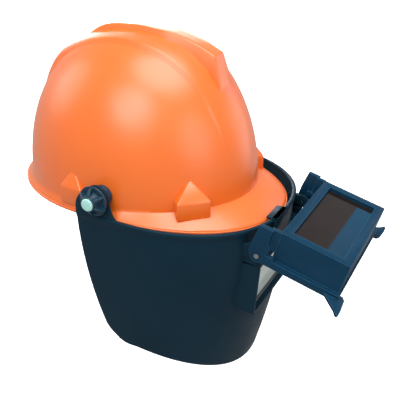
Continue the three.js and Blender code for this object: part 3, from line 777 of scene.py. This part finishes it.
@dataclass
class Hat:
    """The hat's shell: dome and brim, band, rib and slot bosses."""

    finish: bpy.types.Material
    dome: Dome = Dome()
    brim: Brim = Brim()
    band: Band = Band()
    rib: Rib = Rib()
    bosses: tuple[SlotBoss, ...] = (
        SlotBoss("slot_boss_front", 41, 31, 9.0, 0.3, 16.5, 35),
        SlotBoss("slot_boss_rear", 97, 26, 3.4, 4, 20, 37),
    )
    around: int = 240
    outer_steps: int = 84
    inner_steps: int = 30
    outer_foot: float = 0.984
    inner_foot: float = 0.975
    core_cover: float = 0.3
    core_drop: float = 20.0
    core_around: int = 120

    def brim_edge(self, bearing: float) -> Vector:
        """The brim's outer edge in plan."""
        dome, brim = self.dome, self.brim
        if math.cos(bearing) > 0:
            reach, exponent = dome.half_length + brim.peak - dome.centre_y, 2 / brim.peak_power
        else:
            reach, exponent = dome.half_length + brim.rear + dome.centre_y, 2 / brim.rear_power
        x = (dome.half_width + brim.side) * power(math.sin(bearing), exponent)
        return Vector((x, -reach * power(math.cos(bearing), exponent), 0))

    def brim_drop(self, bearing: float) -> float:
        """How far the brim's edge lies below the plane of the brim."""
        along = math.cos(bearing)
        end = self.brim.peak_drop if along > 0 else self.brim.rear_drop
        return mix(self.brim.side_drop, end, abs(along) ** self.brim.drop_power)

    def brim_point(self, bearing: float, share: float, below: float = 0.0, inset: float = 0.0) -> Vector:
        """A point across the brim at a share of the way from the dome's foot to the edge."""
        point = self.dome.point(bearing, self.brim.foot, -inset).lerp(self.brim_edge(bearing), share)
        point.z = self.brim.foot * (1 - share) ** 2 - self.brim_drop(bearing) * share**2 - below
        return point

    def reach(self, bearing: float, inset: float = 0.0) -> float:
        """The brim's breadth in plan, from the dome's foot or from the wall's inner face."""
        gap = self.brim_edge(bearing) - self.dome.point(bearing, self.brim.foot, -inset)
        return math.hypot(gap.x, gap.y)

    def lip_point(self, bearing: float, out: float, below: float) -> Vector:
        """A point of the rolled lip, out from the brim's edge and below it."""
        share = 1 + out / self.reach(bearing, self.dome.wall)
        point = self.dome.point(bearing, self.brim.foot, -self.dome.wall).lerp(self.brim_edge(bearing), share)
        point.z = -self.brim_drop(bearing) - below
        return point

    def section(self) -> list[Callable[[float], Vector]]:
        """The rings of the shell from the crown over the brim and back up inside."""
        dome, brim = self.dome, self.brim
        rings: list[Callable[[float], Vector]] = []
        for step in range(self.outer_steps + 1):
            z = max(brim.foot, dome.level(self.outer_foot * step / self.outer_steps))
            rings.append(lambda bearing, z=z: dome.point(bearing, z))
        for step in range(1, brim.top_steps + 1):
            part = step / brim.top_steps
            rings.append(lambda bearing, part=part: self.brim_point(
                bearing, part * (1 + brim.lip[0][0] * brim.lip_lead / self.reach(bearing)),
            ))
        for out, below in brim.lip:
            rings.append(lambda bearing, out=out, below=below: self.lip_point(bearing, out, below))
        for step in range(brim.under_steps, 0, -1):
            part = step / brim.under_steps
            rings.append(lambda bearing, part=part: self.brim_point(
                bearing, part * (1 - brim.under_lead / self.reach(bearing, dome.wall)), dome.wall, dome.wall,
            ))
        for step in range(self.inner_steps, -1, -1):
            z = max(brim.foot, dome.level(self.inner_foot * step / self.inner_steps, -dome.wall))
            rings.append(lambda bearing, z=z: dome.point(bearing, z, -dome.wall))
        return rings

    def shell(self) -> bmesh.types.BMesh:
        """The dome and brim in one skin."""
        rings = self.section()
        turn = 2 * math.pi / self.around
        return surface(self.around, len(rings) - 1, lambda i, j: rings[j](turn * (i % self.around)))

    def core(self) -> bmesh.types.BMesh:
        """The hollow of the dome, a little larger, so that what is cut to it ends inside the wall."""
        dome, steps, grow = self.dome, 40, self.core_cover - self.dome.wall
        turn = 2 * math.pi / self.core_around

        def place(column: int, row: int) -> Vector:
            """A point of the hollow's skin, with one more ring far below the brim."""
            z = dome.level(row / steps, grow) if row < steps else 0.0
            point = dome.point(turn * (column % self.core_around), z, grow)
            point.z = z if row <= steps else -self.core_drop
            return point

        return closed(surface(self.core_around, steps + 1, place))

    def raised_band(self) -> bmesh.types.BMesh:
        """The band, from behind the crown to where it sinks into the dome's front."""
        dome, band = self.dome, self.band
        first, last = band.rises[-1][0], band.rises[0][0]
        across = [mix(-1, 1, step / band.across) for step in range(band.across + 1)]

        def place(column: int, row: int) -> Vector:
            """A point of the band's section at a station along it."""
            angle = mix(first, last, row / band.along)
            turn = math.radians(angle)
            outward = Vector((0, math.sin(turn), math.cos(turn)))
            y = dome.centre_y + dome.half_length * power(math.sin(turn), 2 / dome.rise_power)
            half = band.half_width * curve(band.widths, angle)
            height = band.rise * curve(band.rises, angle)
            crest = [(-half - out, height * share) for out, share in reversed(band.edge)]
            crest += [(side * (half + band.edge[0][0]), height) for side in across[1:-1]]
            crest += [(half + out, height * share) for out, share in band.edge]
            base = [(side * (half + band.foot), band.sunk) for side in reversed(across)]
            loop = crest + base
            x, rise = loop[column % len(loop)]
            return Vector((x, y, dome.height(x, y))) + outward * rise

        count = 2 * len(band.edge) + 2 * band.across
        return closed(surface(count, band.along, place))

    def crown_rib(self) -> bmesh.types.BMesh:
        """The rib, whose nose stands clear of the dome."""
        dome, rib = self.dome, self.rib

        def place(column: int, row: int) -> Vector:
            """A point of the rib's section at a station along it."""
            along = mix(1, -1, row / rib.steps)
            raked = clamp((rib.rake_start - along) / (1 + rib.rake_start))
            top_y = along * (rib.back if along > 0 else rib.nose)
            base_y = top_y - rib.rake * raked
            half = rib.half_width * curve(rib.widths, along)
            base = half + mix(rib.draft, rib.nose_draft, raked)
            top = rib.height - rib.drop * curve(rib.falls, along)
            foot = dome.height(0, base_y) - rib.foot
            loop = [
                (-base, base_y, foot), (-half, top_y, top), (-half / 3, top_y, top), (half / 3, top_y, top),
                (half, top_y, top), (base, base_y, foot), (base / 3, base_y, foot), (-base / 3, base_y, foot),
            ]
            return Vector(loop[column % len(loop)])

        mesh = closed(surface(8, rib.steps, place))
        round_edges(mesh, rib.bevel, angle=40, segments=3)
        return mesh

    def slot_boss(self, boss: SlotBoss) -> bmesh.types.BMesh:
        """A slot boss on the left of the dome."""
        angle = math.radians(boss.bearing)
        face = self.dome.point(angle, 0)
        near = math.radians(1)
        ahead = (self.dome.point(angle + near, 0) - self.dome.point(angle - near, 0)).normalized()
        outward = Vector((-ahead.y, ahead.x, 0))
        if outward.dot(face) < 0:
            outward.negate()
        root = -boss.depth - boss.root
        corners = [(1, boss.depth), (-1, boss.depth), (-1, root), (1, root)]
        tip = self.dome.point(angle, boss.apex, -boss.sink)

        def place(column: int, row: int) -> Vector:
            """A corner of the block, or the tip of its top."""
            if row == 2:
                return tip
            side, out = corners[column % 4]
            point = face + ahead * (side * boss.width / 2) + outward * out
            point.z = boss.top if row else boss.bottom
            return point

        mesh = closed(surface(4, 2, place))
        round_edges(mesh, boss.bevel, angle=20, segments=3)
        return mesh

    def build(self) -> None:
        """Makes the hat's pieces."""
        kind = (self.finish, Body.HAT, "orange_shell")
        piece("hat_shell_skin", self.shell(), *kind, ["hat_shell"], sharp=50)
        piece("raised_band", self.raised_band(), *kind, sharp=60)
        piece("crown_rib", carved(self.crown_rib(), self.core()), *kind, sharp=50)
        for boss in self.bosses:
            for side in Side:
                block_left = carved(self.slot_boss(boss), self.core())
                piece(f"{boss.name}_{side.word}", sided(block_left, side), *kind, sharp=30)


# Mask


@dataclass(frozen=True)
class MaskForm:
    """The form of the mask's sheet, in millimetres."""

    half_width: float = 105.2
    front: float = -148.7
    centre_y: float = -21.6
    wall: float = 2.8
    plan_power: float = 2.35
    chin_power: float = 2.05
    rear_power: float = 3.2
    rim_height: float = 2.3
    rim_slope: float = 0.055
    rim_wall: float = 4.0
    side_depth: float = 140.0
    chin_depth: float = 180.5
    chin_pull: float = 1.15
    rear_edge: float = 9.0
    rear_sweep: float = 25.0
    corner: float = 22.0
    side_taper: float = 5.4
    side_curve: float = 11.1
    front_taper: float = 10.5
    front_curve: float = 18.2
    rounding: float = 1.3
    rim_end: float = 4.4
    rim_fade: float = 1.4
    girth: float = 240.0

    def plan(self, z: float) -> tuple[float, float, float]:
        """Half width, front reach and corner exponent of the inner face at a height."""
        depth = max(0.0, -z) / self.chin_depth
        half = self.half_width - self.side_taper * depth - self.side_curve * depth**2
        reach = self.centre_y - self.front - self.front_taper * depth - self.front_curve * depth**2
        return half, reach, 2 / mix(self.plan_power, self.chin_power, min(1.0, depth))

    def rear(self, z: float) -> float:
        """Where the sheet ends behind the ears, at a height."""
        swept = self.rear_sweep * (max(0.0, -z) / self.side_depth) ** 2
        into = clamp(-z - self.side_depth + self.corner, 0, self.corner)
        return self.rear_edge - swept - self.corner + math.sqrt(self.corner**2 - into**2)

    def rim(self, y: float) -> float:
        """The height of the rim's top."""
        return self.rim_height + self.rim_slope * (y - self.centre_y)

    def bottom(self, side: float) -> float:
        """The height of the bottom edge at a share round the face."""
        return -mix(self.side_depth, self.chin_depth, math.cos(math.pi / 2 * side) ** self.chin_pull)

    def point(self, side: float, down: float, grow: float) -> Vector:
        """A point of the sheet.

        Args:
            side: From -1 to 1 round the face, from the right to the left.
            down: From 0 at the rim to 1 at the bottom edge.
            grow: How far outside the inner face.

        Returns:
            The point.
        """
        bottom = self.bottom(side)
        half, reach, corner = self.plan(down * bottom)
        half, reach = half + grow, reach + grow
        edge = self.rear(down * bottom)
        behind = edge > self.centre_y
        rear = 2 / self.rear_power
        turn = math.asin((abs(edge - self.centre_y) / reach) ** (1 / (rear if behind else corner)))
        angle = side * (math.pi / 2 + (turn if behind else -turn))
        exponent = rear if math.cos(angle) < 0 else corner
        x = half * power(math.sin(angle), exponent)
        y = self.centre_y - reach * power(math.cos(angle), exponent)
        return Vector((x, y, mix(self.rim(y), bottom, down)))

    def inside(self, x: float, z: float) -> float:
        """Where the inner face's front lies at a place across it."""
        half, reach, corner = self.plan(z)
        angle = math.asin((abs(x) / half) ** (1 / corner))
        return self.centre_y - reach * math.cos(angle) ** corner


@dataclass(frozen=True)
class WindowForm:
    """The window's housing in the mask, in millimetres."""

    front: float = -151.1
    top: float = -38.4
    half_width: float = 57.5
    height: float = 53.4
    lean: float = 4.4
    wall: float = 2.2
    lip_front: float = 9.8
    lip_back: float = 11.8
    lip_inset: float = 4.5
    depth: float = 34.0
    sink: float = 0.5
    bevel: float = 0.45
    steps: int = 18

    def pose(self) -> Matrix:
        """The turn and place of the window, in metres."""
        place = Vector((0, self.front, self.top)) * MM
        return Matrix.Translation(place) @ Matrix.Rotation(math.radians(self.lean), 4, "X")

    def frame(
        self, outer: float, inner: float, front: float, back: float, form: MaskForm | None = None,
    ) -> bmesh.types.BMesh:
        """A rectangular frame between two insets from the outline and two depths.

        Args:
            outer: The outer inset, in millimetres.
            inner: The inner inset.
            front: The front's depth behind the window's face.
            back: The back's depth.
            form: The mask's sheet, where the back follows it.

        Returns:
            The mesh, in metres.
        """
        pose = self.pose()
        section = [(outer, front), (inner, front), (inner, back), (outer, back)]

        def place(column: int, row: int) -> Vector:
            """A corner of the frame's section at a station round it."""
            inset, depth = section[row % 4]
            edge, step = divmod(column % (4 * self.steps), self.steps)
            left, right = inset - self.half_width, self.half_width - inset
            bottom, top = inset - self.height, -inset
            ends = [(left, top), (right, top), (right, bottom), (left, bottom)]
            (x0, z0), (x1, z1) = ends[edge], ends[(edge + 1) % 4]
            share = step / self.steps
            x, z = mix(x0, x1, share), mix(z0, z1, share)
            spot = pose @ (Vector((x, depth, z)) * MM) / MM
            if form and depth == back:
                seat = pose @ (Vector((x, self.lip_back, z)) * MM) / MM
                spot.y = max(seat.y, form.inside(spot.x, spot.z) - self.sink)
            return spot

        mesh = surface(4 * self.steps, 4, place)
        round_edges(mesh, self.bevel)
        return mesh


@dataclass(frozen=True)
class EarForm:
    """An ear of the mask about its pivot, in millimetres."""

    radius: float = 12.5
    fillet: float = 11.0
    reach_down: float = 3.2
    shoulder: float = 6.0
    rear_gap: float = 0.2
    bearing: float = 35.0
    thickness: float = 2.8
    bevel: float = 0.7
    steps: int = 20


@dataclass
class Mask:
    """The welding mask: sheet, ears, rim pad, window housing, lugs, pane and gasket."""

    finishes: Finishes
    nodes: dict[str, bpy.types.Object]
    form: MaskForm = MaskForm()
    window: WindowForm = WindowForm()
    ear: EarForm = EarForm()
    pivot: Row = (-15.2, 19.3)
    hinge: Row = (-149.9, -23.2)
    lug_radius: float = 6.4
    lug_steps: int = 16
    lug_span: Row = (54.9, 60.3)
    web_width: float = 2.6
    web_start: float = 11.3
    web_inset: float = 2.3
    pad_span: Row = (-28.0, -1.0)
    pad_depth: float = 9.0
    pad_raise: float = 1.0
    pad_back: float = 0.8
    pad_bevel: float = 0.6
    shelf_reach: float = 6.0
    shelf_thickness: float = 1.7
    columns: int = 150
    rows: int = 48
    cut_depth: float = 60.0
    sink: float = 0.6

    def stations(self) -> list[float]:
        """Shares round the face, close together at the two ends where the edge is rounded."""
        ends = (0.0, 0.0006, 0.002, 0.0045, 0.008, 0.012)
        left = [-1 + end for end in ends]
        middle = [mix(-0.985, 0.985, step / self.columns) for step in range(self.columns + 1)]
        return left + middle + [-share for share in reversed(left)]

    def sheet(self) -> bmesh.types.BMesh:
        """The curved sheet with its thick rim and rounded edges, open where the window stands."""
        form = self.form
        sides = self.stations()
        top = (0, 0.15, 0.5, 1.0, 1.6, 3.0, form.rim_end, 5.0, 5.5, 6.4)
        bottom = (0, 0.15, 0.5, 1.0, 1.6)
        span = form.chin_depth
        downs = [value / span for value in top]
        downs += [mix(8 / span, 1 - 3 / span, step / self.rows) for step in range(self.rows + 1)]
        downs += [1 - value / span for value in reversed(bottom)]
        order = list(range(len(downs) - 1, -1, -1)) + list(range(1, len(downs)))

        def swell(away: float) -> float:
            """The share of its thickness that the sheet has at a distance from an edge."""
            return math.sqrt(1 - (1 - clamp(away / form.rounding)) ** 2)

        def place(column: int, row: int) -> Vector:
            """A point of the outer or the inner face."""
            outside = row < len(downs)
            side, down = sides[column], downs[order[row]]
            depth = down * -form.bottom(side)
            rim = 1 - ease((depth - form.rim_end) / form.rim_fade)
            wall = mix(form.wall, form.rim_wall, rim)
            height = -form.bottom(side)
            away = min(depth, height - depth, (1 - abs(side)) * form.girth)
            half = wall / 2 * swell(away)
            return form.point(side, down, wall / 2 + (half if outside else -half))

        return closed(surface(len(sides) - 1, len(order) - 1, place))

    def opened(self, mesh: bmesh.types.BMesh) -> bmesh.types.BMesh:
        """Cuts the window's opening through the sheet and joins the two layers round it."""
        window = self.window
        pose = window.pose()
        inset = window.wall / 2
        low = Vector((inset - window.half_width, 0, inset - window.height))
        high = Vector((window.half_width - inset, 0, -inset))
        reach = (window.front + self.cut_depth) * MM
        for axis, place in ((0, low.x), (0, high.x), (2, low.z), (2, high.z)):
            normal = Vector((axis == 0, 0, axis == 2))
            faces = [face for face in mesh.faces if face.calc_center_median().y < reach]
            edges = {edge for face in faces for edge in face.edges}
            verts = {vert for face in faces for vert in face.verts}
            bmesh.ops.bisect_plane(
                mesh, geom=[*verts, *edges, *faces], dist=1e-7,
                plane_co=pose @ (normal * place * MM), plane_no=pose.to_3x3() @ normal,
            )
        back = pose.inverted()

        def within(face: bmesh.types.BMFace) -> bool:
            """Whether a face lies in the opening."""
            spot = back @ face.calc_center_median() / MM
            return low.x < spot.x < high.x and low.z < spot.z < high.z and spot.y < self.cut_depth

        bmesh.ops.delete(mesh, geom=[face for face in mesh.faces if within(face)], context="FACES")
        rims = [edge for edge in mesh.edges if edge.is_boundary]
        bmesh.ops.bridge_loops(mesh, edges=rims)
        bmesh.ops.recalc_face_normals(mesh, faces=mesh.faces)
        return mesh

    def ear_plate(self) -> bmesh.types.BMesh:
        """The left ear, a flat plate with a round end about the pivot."""
        y, z = self.pivot
        ear, form = self.ear, self.form
        front = y - ear.radius
        outline: list[Row] = []
        for step in range(ear.steps):
            share = step / ear.steps
            outline.append(bend((front - ear.fillet, -1.0), (front, form.rim_height), (front, z), share))
        for step in range(ear.steps + 1):
            angle = mix(math.pi, math.radians(ear.bearing), step / ear.steps)
            outline.append((y + ear.radius * math.cos(angle), z + ear.radius * math.sin(angle)))
        start, rear = outline[-1], form.rear_edge - ear.rear_gap
        for step in range(1, ear.steps // 2 + 1):
            outline.append(bend(start, (rear, z), (rear, ear.shoulder), 2 * step / ear.steps))
        outline.append((form.rear(-ear.reach_down) - 2 * ear.rear_gap, -ear.reach_down))
        outline.append((front - ear.fillet, -ear.reach_down))
        inner = form.half_width
        return plate(outline, inner, inner + ear.thickness, ear.bevel)

    def lug(self) -> bmesh.types.BMesh:
        """The left lug, which carries a pin of the holder, and the web that ties it to the housing."""
        (y, z), radius = self.hinge, self.lug_radius
        start = self.lug_span[0]
        back = self.form.inside(start, z) + self.sink
        outline = [(back, z + radius), (y, z + radius)]
        for step in range(1, self.lug_steps + 1):
            angle = mix(math.pi / 2, 3 * math.pi / 2, step / self.lug_steps)
            outline.append((y + radius * math.cos(angle), z + radius * math.sin(angle)))
        outline.append((back, z - radius))
        front, foot = self.window.front + self.web_inset, self.window.top - 1
        web = [(back, z), (y, z - radius + 1), (front, z - self.web_start), (front, foot), (back, foot)]
        return join([plate(outline, *self.lug_span, 0.4), plate(web, start, start + self.web_width, 0.3)])

    def rim_pad(self) -> bmesh.types.BMesh:
        """The thick stretch of rim over the holder, with its shelf over the peak."""
        form = self.form
        left, right = self.pad_span
        rim = form.rim(form.front)
        top, front = rim + self.pad_raise, form.front - form.rim_wall - 1
        foot, back = rim - self.pad_depth, form.front + self.pad_back
        body = block(Vector((left, front, foot)), Vector((right, back, top)), self.pad_bevel)
        low = Vector((left, front, top - self.shelf_thickness))
        high = Vector((right, form.front + self.shelf_reach, top))
        return join([body, block(low, high, self.pad_bevel)])

    def build(self) -> None:
        """Makes the mask's pieces and dresses its pane and gasket."""
        kind = (self.finishes.mask, Body.MASK, "mask_plastic")
        window = self.window
        piece("mask_sheet", self.opened(self.sheet()), *kind, ["mask_shell"], sharp=50)
        for side in Side:
            piece(f"mask_ear_{side.word}", sided(self.ear_plate(), side), *kind)
            piece(f"holder_lug_{side.word}", sided(self.lug(), side), *kind)
        piece("rim_pad", self.rim_pad(), *kind)
        piece("window_housing", window.frame(0, window.wall, 0, window.depth, self.form), *kind)
        inner = window.wall + window.lip_inset
        piece("window_seat", window.frame(window.wall / 2, inner, window.lip_front, window.lip_back), *kind)
        dress(self.nodes["window_pane"], self.finishes.clear)
        dress(self.nodes["window_gasket"], self.finishes.rubber)


# Pivots


@dataclass
class Pivot:
    """One pivot: bolt, spacer, winged knob and cap."""

    side: Side
    finishes: Finishes
    nodes: dict[str, bpy.types.Object]
    centre: Row = (-15.2, 19.3)
    wings: int = 6
    wing_width: float = 2.2
    wing_bevel: float = 0.35
    wing_outline: tuple[Row, ...] = (
        (-0.8, 4.0), (-0.8, 12.9), (1.9, 12.9), (2.5, 12.5), (6.2, 8.3), (6.6, 7.6), (6.6, 4.0),
    )
    start: float = 108.3
    face: float = 113.5
    top: float = 121.5
    spacer_start: float = 97.6
    spacer_end: float = 104.9

    def knob(self) -> bmesh.types.BMesh:
        """The knob's disc and hub in one turned body."""
        s, f, t = self.start, self.face, self.top
        profile = [
            (s, 2.7), (s, 10.9), (s + 0.1, 11.6), (s + 0.5, 12.1), (f - 1.0, 13.7), (f - 0.5, 13.95),
            (f - 0.1, 13.8), (f, 13.3), (f, 12.2), (f - 0.35, 11.8), (f - 0.35, 8.9), (f - 0.1, 8.3),
            (f + 0.5, 8.0), (t - 1.2, 7.0), (t - 0.4, 6.9), (t - 0.05, 6.6), (t, 6.35), (t - 0.2, 6.15),
            (t - 1.1, 6.1), (t - 1.1, 2.7), (s, 2.7),
        ]
        return turned(profile, self.centre)

    def wing(self, index: int) -> bmesh.types.BMesh:
        """One radial wing, standing on the disc."""
        side = -self.wing_width / 2
        outline = [Vector((self.face + out, side, radius)) for out, radius in self.wing_outline]
        mesh = slab(outline, Vector((0, self.wing_width, 0)), self.wing_bevel, 35)
        y, z = self.centre
        turn = Matrix.Rotation(2 * math.pi * index / self.wings, 4, "X")
        bmesh.ops.transform(mesh, matrix=Matrix.Translation(Vector((0, y, z)) * MM) @ turn, verts=mesh.verts)
        return mesh

    def cap(self) -> bmesh.types.BMesh:
        """The pale cap in the knob."""
        base = self.top - 0.8
        rises = [(0, 0), (0, 5.75), (0.9, 5.8), (1.5, 5.6), (1.85, 5.1), (2.05, 4.0), (2.2, 0)]
        return turned([(base + rise, radius) for rise, radius in rises], self.centre)

    def spacer(self) -> bmesh.types.BMesh:
        """The spacer between shell and ear."""
        a, b = self.spacer_start, self.spacer_end
        profile = [(a, 2.8), (a, 9.5), (b - 0.9, 9.5), (b - 0.25, 9.2), (b, 8.6), (b, 2.8), (a, 2.8)]
        return turned(profile, self.centre)

    def build(self) -> None:
        """Makes the pivot's pieces."""
        word, side, finishes = self.side.word, self.side, self.finishes
        body = Body.KNOB_LEFT if side is Side.LEFT else Body.KNOB_RIGHT
        knob = join([self.knob()] + [self.wing(index) for index in range(self.wings)])
        rows = (
            ("winged_knob", knob, finishes.knob, body, "black_plastic", "knob"),
            ("pale_cap", self.cap(), finishes.cap, body, "mint_cap", "knob_cap"),
            ("spacer_ring", self.spacer(), finishes.knob, Body.HAT, "black_plastic", "pivot_spacer"),
        )
        for name, mesh, finish, carrier, slot, node in rows:
            piece(f"{name}_{word}", sided(mesh, side), finish, carrier, slot, [f"{node}_{word}"])
        dress(self.nodes[f"pivot_bolt_{word}"], self.finishes.steel)


# Filter holder


@dataclass
class FilterHolder:
    """The flip-up holder with its dark glass and pins."""

    finishes: Finishes
    nodes: dict[str, bpy.types.Object]
    bevel: float = 0.5

    def frame(self) -> bmesh.types.BMesh:
        """The holder's frame with its edges broken."""
        mesh = bmesh.new()
        mesh.from_mesh(self.nodes["lens_holder"].data)
        bmesh.ops.remove_doubles(mesh, verts=mesh.verts, dist=0.002 * MM)
        bmesh.ops.dissolve_limit(mesh, angle_limit=math.radians(1), verts=mesh.verts, edges=mesh.edges)
        bmesh.ops.recalc_face_normals(mesh, faces=mesh.faces)
        round_edges(mesh, self.bevel, angle=40)
        return mesh

    def build(self) -> None:
        """Makes the holder's pieces and dresses the rest."""
        kind = (self.finishes.holder, Body.HOLDER, "holder_plastic")
        piece("holder_frame", self.frame(), *kind, ["lens_holder"], sharp=30)
        dress(self.nodes["filter_glass"], self.finishes.dark)
        dress(self.nodes["filter_retainer"], self.finishes.knob)
        for side in Side:
            dress(self.nodes[f"hinge_pin_{side.word}"], self.finishes.steel)


# Studio


@dataclass(frozen=True)
class Camera:
    """The photograph's view: angles in degrees, lengths in millimetres."""

    azimuth: float = -62.737
    elevation: float = 26.042
    roll: float = 0.305
    lens: float = 58.089
    aside: float = 54.125
    above: float = -28.487
    distance: float = 662.436

    def build(self) -> None:
        """Sets up the scene's camera."""
        a, e, r = (math.radians(value) for value in (self.azimuth, self.elevation, self.roll))
        back = Vector((math.sin(a) * math.cos(e), -math.cos(a) * math.cos(e), math.sin(e)))
        right = Vector((math.cos(a), math.sin(a), 0))
        up = back.cross(right)
        across = right * math.cos(r) + up * math.sin(r)
        upward = up * math.cos(r) - right * math.sin(r)
        place = (back * self.distance + across * self.aside + upward * self.above) * MM
        data = bpy.data.cameras.new("photo_camera")
        data.lens, data.sensor_width, data.clip_start = self.lens, 36.0, 0.01
        camera = bpy.data.objects.new("photo_camera", data)
        turn = Matrix((across, upward, back)).transposed().to_4x4()
        camera.matrix_world = Matrix.Translation(place) @ turn
        bpy.context.scene.collection.objects.link(camera)
        bpy.context.scene.camera = camera


def sheet_of(name: str, size: tuple[float, float], **looks: object) -> bpy.types.Object:
    """A flat sheet for the studio, with a plain material of its own.

    Args:
        name: The sheet's name.
        size: Its width and height in metres.
        looks: The shader's own values, with spaces as underscores.

    Returns:
        The object.
    """
    mesh = bmesh.new()
    bmesh.ops.create_grid(mesh, x_segments=1, y_segments=1, size=0.5)
    bmesh.ops.scale(mesh, verts=mesh.verts, vec=(*size, 1))
    data = bpy.data.meshes.new(name)
    mesh.to_mesh(data)
    mesh.free()
    desk = Desk(bpy.data.materials.new(name))
    desk.fix(**looks)
    data.materials.append(desk.material)
    made = bpy.data.objects.new(name, data)
    bpy.context.scene.collection.objects.link(made)
    return made


@dataclass(frozen=True)
class Lamp:
    """A soft box that looks at a point near the hat."""

    name: str
    place: Vector
    size: float
    watts: float
    aim: Vector = field(default_factory=lambda: Vector((0, -0.03, 0.02)))

    def build(self) -> None:
        """Sets up the lamp."""
        data = bpy.data.lights.new(self.name, "AREA")
        data.shape, data.size, data.energy = "DISK", self.size, self.watts
        lamp = bpy.data.objects.new(self.name, data)
        lamp.location = self.place
        lamp.rotation_euler = (self.place - self.aim).to_track_quat("Z", "Y").to_euler()
        bpy.context.scene.collection.objects.link(lamp)


@dataclass(frozen=True)
class Card:
    """A dim blue card that shows only as a reflection in the dark glass."""

    place: Vector = Vector((0.4267, -0.287, 0.2403))
    facing: Vector = Vector((0.864, -0.07, 0.499))
    width: float = 0.1
    height: float = 0.16
    turn: float = 6.4
    colour: Colour = (0.045, 0.50, 1.0)
    strength: float = 2.4

    def build(self) -> None:
        """Sets up the card."""
        card = sheet_of(
            "blue_card", (self.width, self.height), Base_Color=(0, 0, 0, 1),
            Emission_Color=(*self.colour, 1), Emission_Strength=self.strength,
        )
        side = self.facing.cross(Vector((0, 0, 1))).normalized()
        turned_side = Matrix.Rotation(math.radians(self.turn), 3, self.facing) @ side
        up = turned_side.cross(self.facing)
        axes = Matrix((turned_side, up, -self.facing)).transposed().to_4x4()
        card.matrix_world = Matrix.Translation(self.place) @ axes
        card.visible_camera = False
        card.visible_diffuse = False
        card.visible_shadow = False
        card.visible_transmission = False


@dataclass
class Studio:
    """A pale floor, a white surround, soft lamps and a reflected card."""

    floor_height: float = -0.25
    floor_size: float = 12.0
    floor_glow: float = 0.75
    ambience: float = 0.5
    lamps: tuple[Lamp, ...] = (
        Lamp("key", Vector((-0.92, -0.10, 0.80)), 0.7, 7),
        Lamp("top", Vector((-0.1, -0.30, 1.25)), 1.0, 14),
        Lamp("back_sky", Vector((0.96, 0.66, 0.36)), 0.9, 11),
        Lamp("front", Vector((-0.5, -1.3, 0.45)), 0.9, 4),
        Lamp("rear", Vector((-0.2, 1.2, 0.6)), 0.8, 3),
        Lamp("far", Vector((1.0, -0.9, 0.1)), 0.8, 2),
    )

    def build(self) -> None:
        """Sets up floor, surround and lamps."""
        floor = sheet_of(
            "floor", (self.floor_size, self.floor_size), Base_Color=(0.9, 0.9, 0.9, 1), Roughness=0.9,
            Emission_Color=(1, 1, 1, 1), Emission_Strength=self.floor_glow,
        )
        floor.location.z = self.floor_height
        floor.visible_diffuse = False
        floor.visible_glossy = False
        bpy.context.scene.view_settings.view_transform = "Standard"
        self.surround()
        for lamp in self.lamps:
            lamp.build()
        Card().build()

    def surround(self) -> None:
        """Sets up a white surround that lights the object softly."""
        world = bpy.data.worlds.new("white_surround")
        world.use_nodes = True
        tree = world.node_tree
        surround = tree.nodes["Background"]
        surround.inputs["Color"].default_value = (1, 1, 1, 1)
        seen = tree.nodes.new("ShaderNodeLightPath").outputs["Is Camera Ray"]
        share = tree.nodes.new("ShaderNodeMapRange")
        share.inputs["To Min"].default_value = self.ambience
        share.inputs["To Max"].default_value = 1.0
        tree.links.new(seen, share.inputs["Value"])
        tree.links.new(share.outputs["Result"], surround.inputs["Strength"])
        bpy.context.scene.world = world


def corners(bounds: tuple[Sequence[float], Sequence[float]]) -> list[list[float]]:
    """Two corners as plain lists of numbers."""
    return [[float(value) for value in corner] for corner in bounds]


def main() -> None:
    """Builds the pieces in order."""
    logging.basicConfig(level=logging.INFO, format="%(name)s %(message)s")
    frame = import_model()
    nodes = frame["nodes"]
    finishes = Finishes.build()
    Hat(finishes.shell).build()
    Mask(finishes, nodes).build()
    for side in Side:
        Pivot(side, finishes, nodes).build()
    FilterHolder(finishes, nodes).build()
    Studio().build()
    Camera().build()


if __name__ == "__main__":
    main()
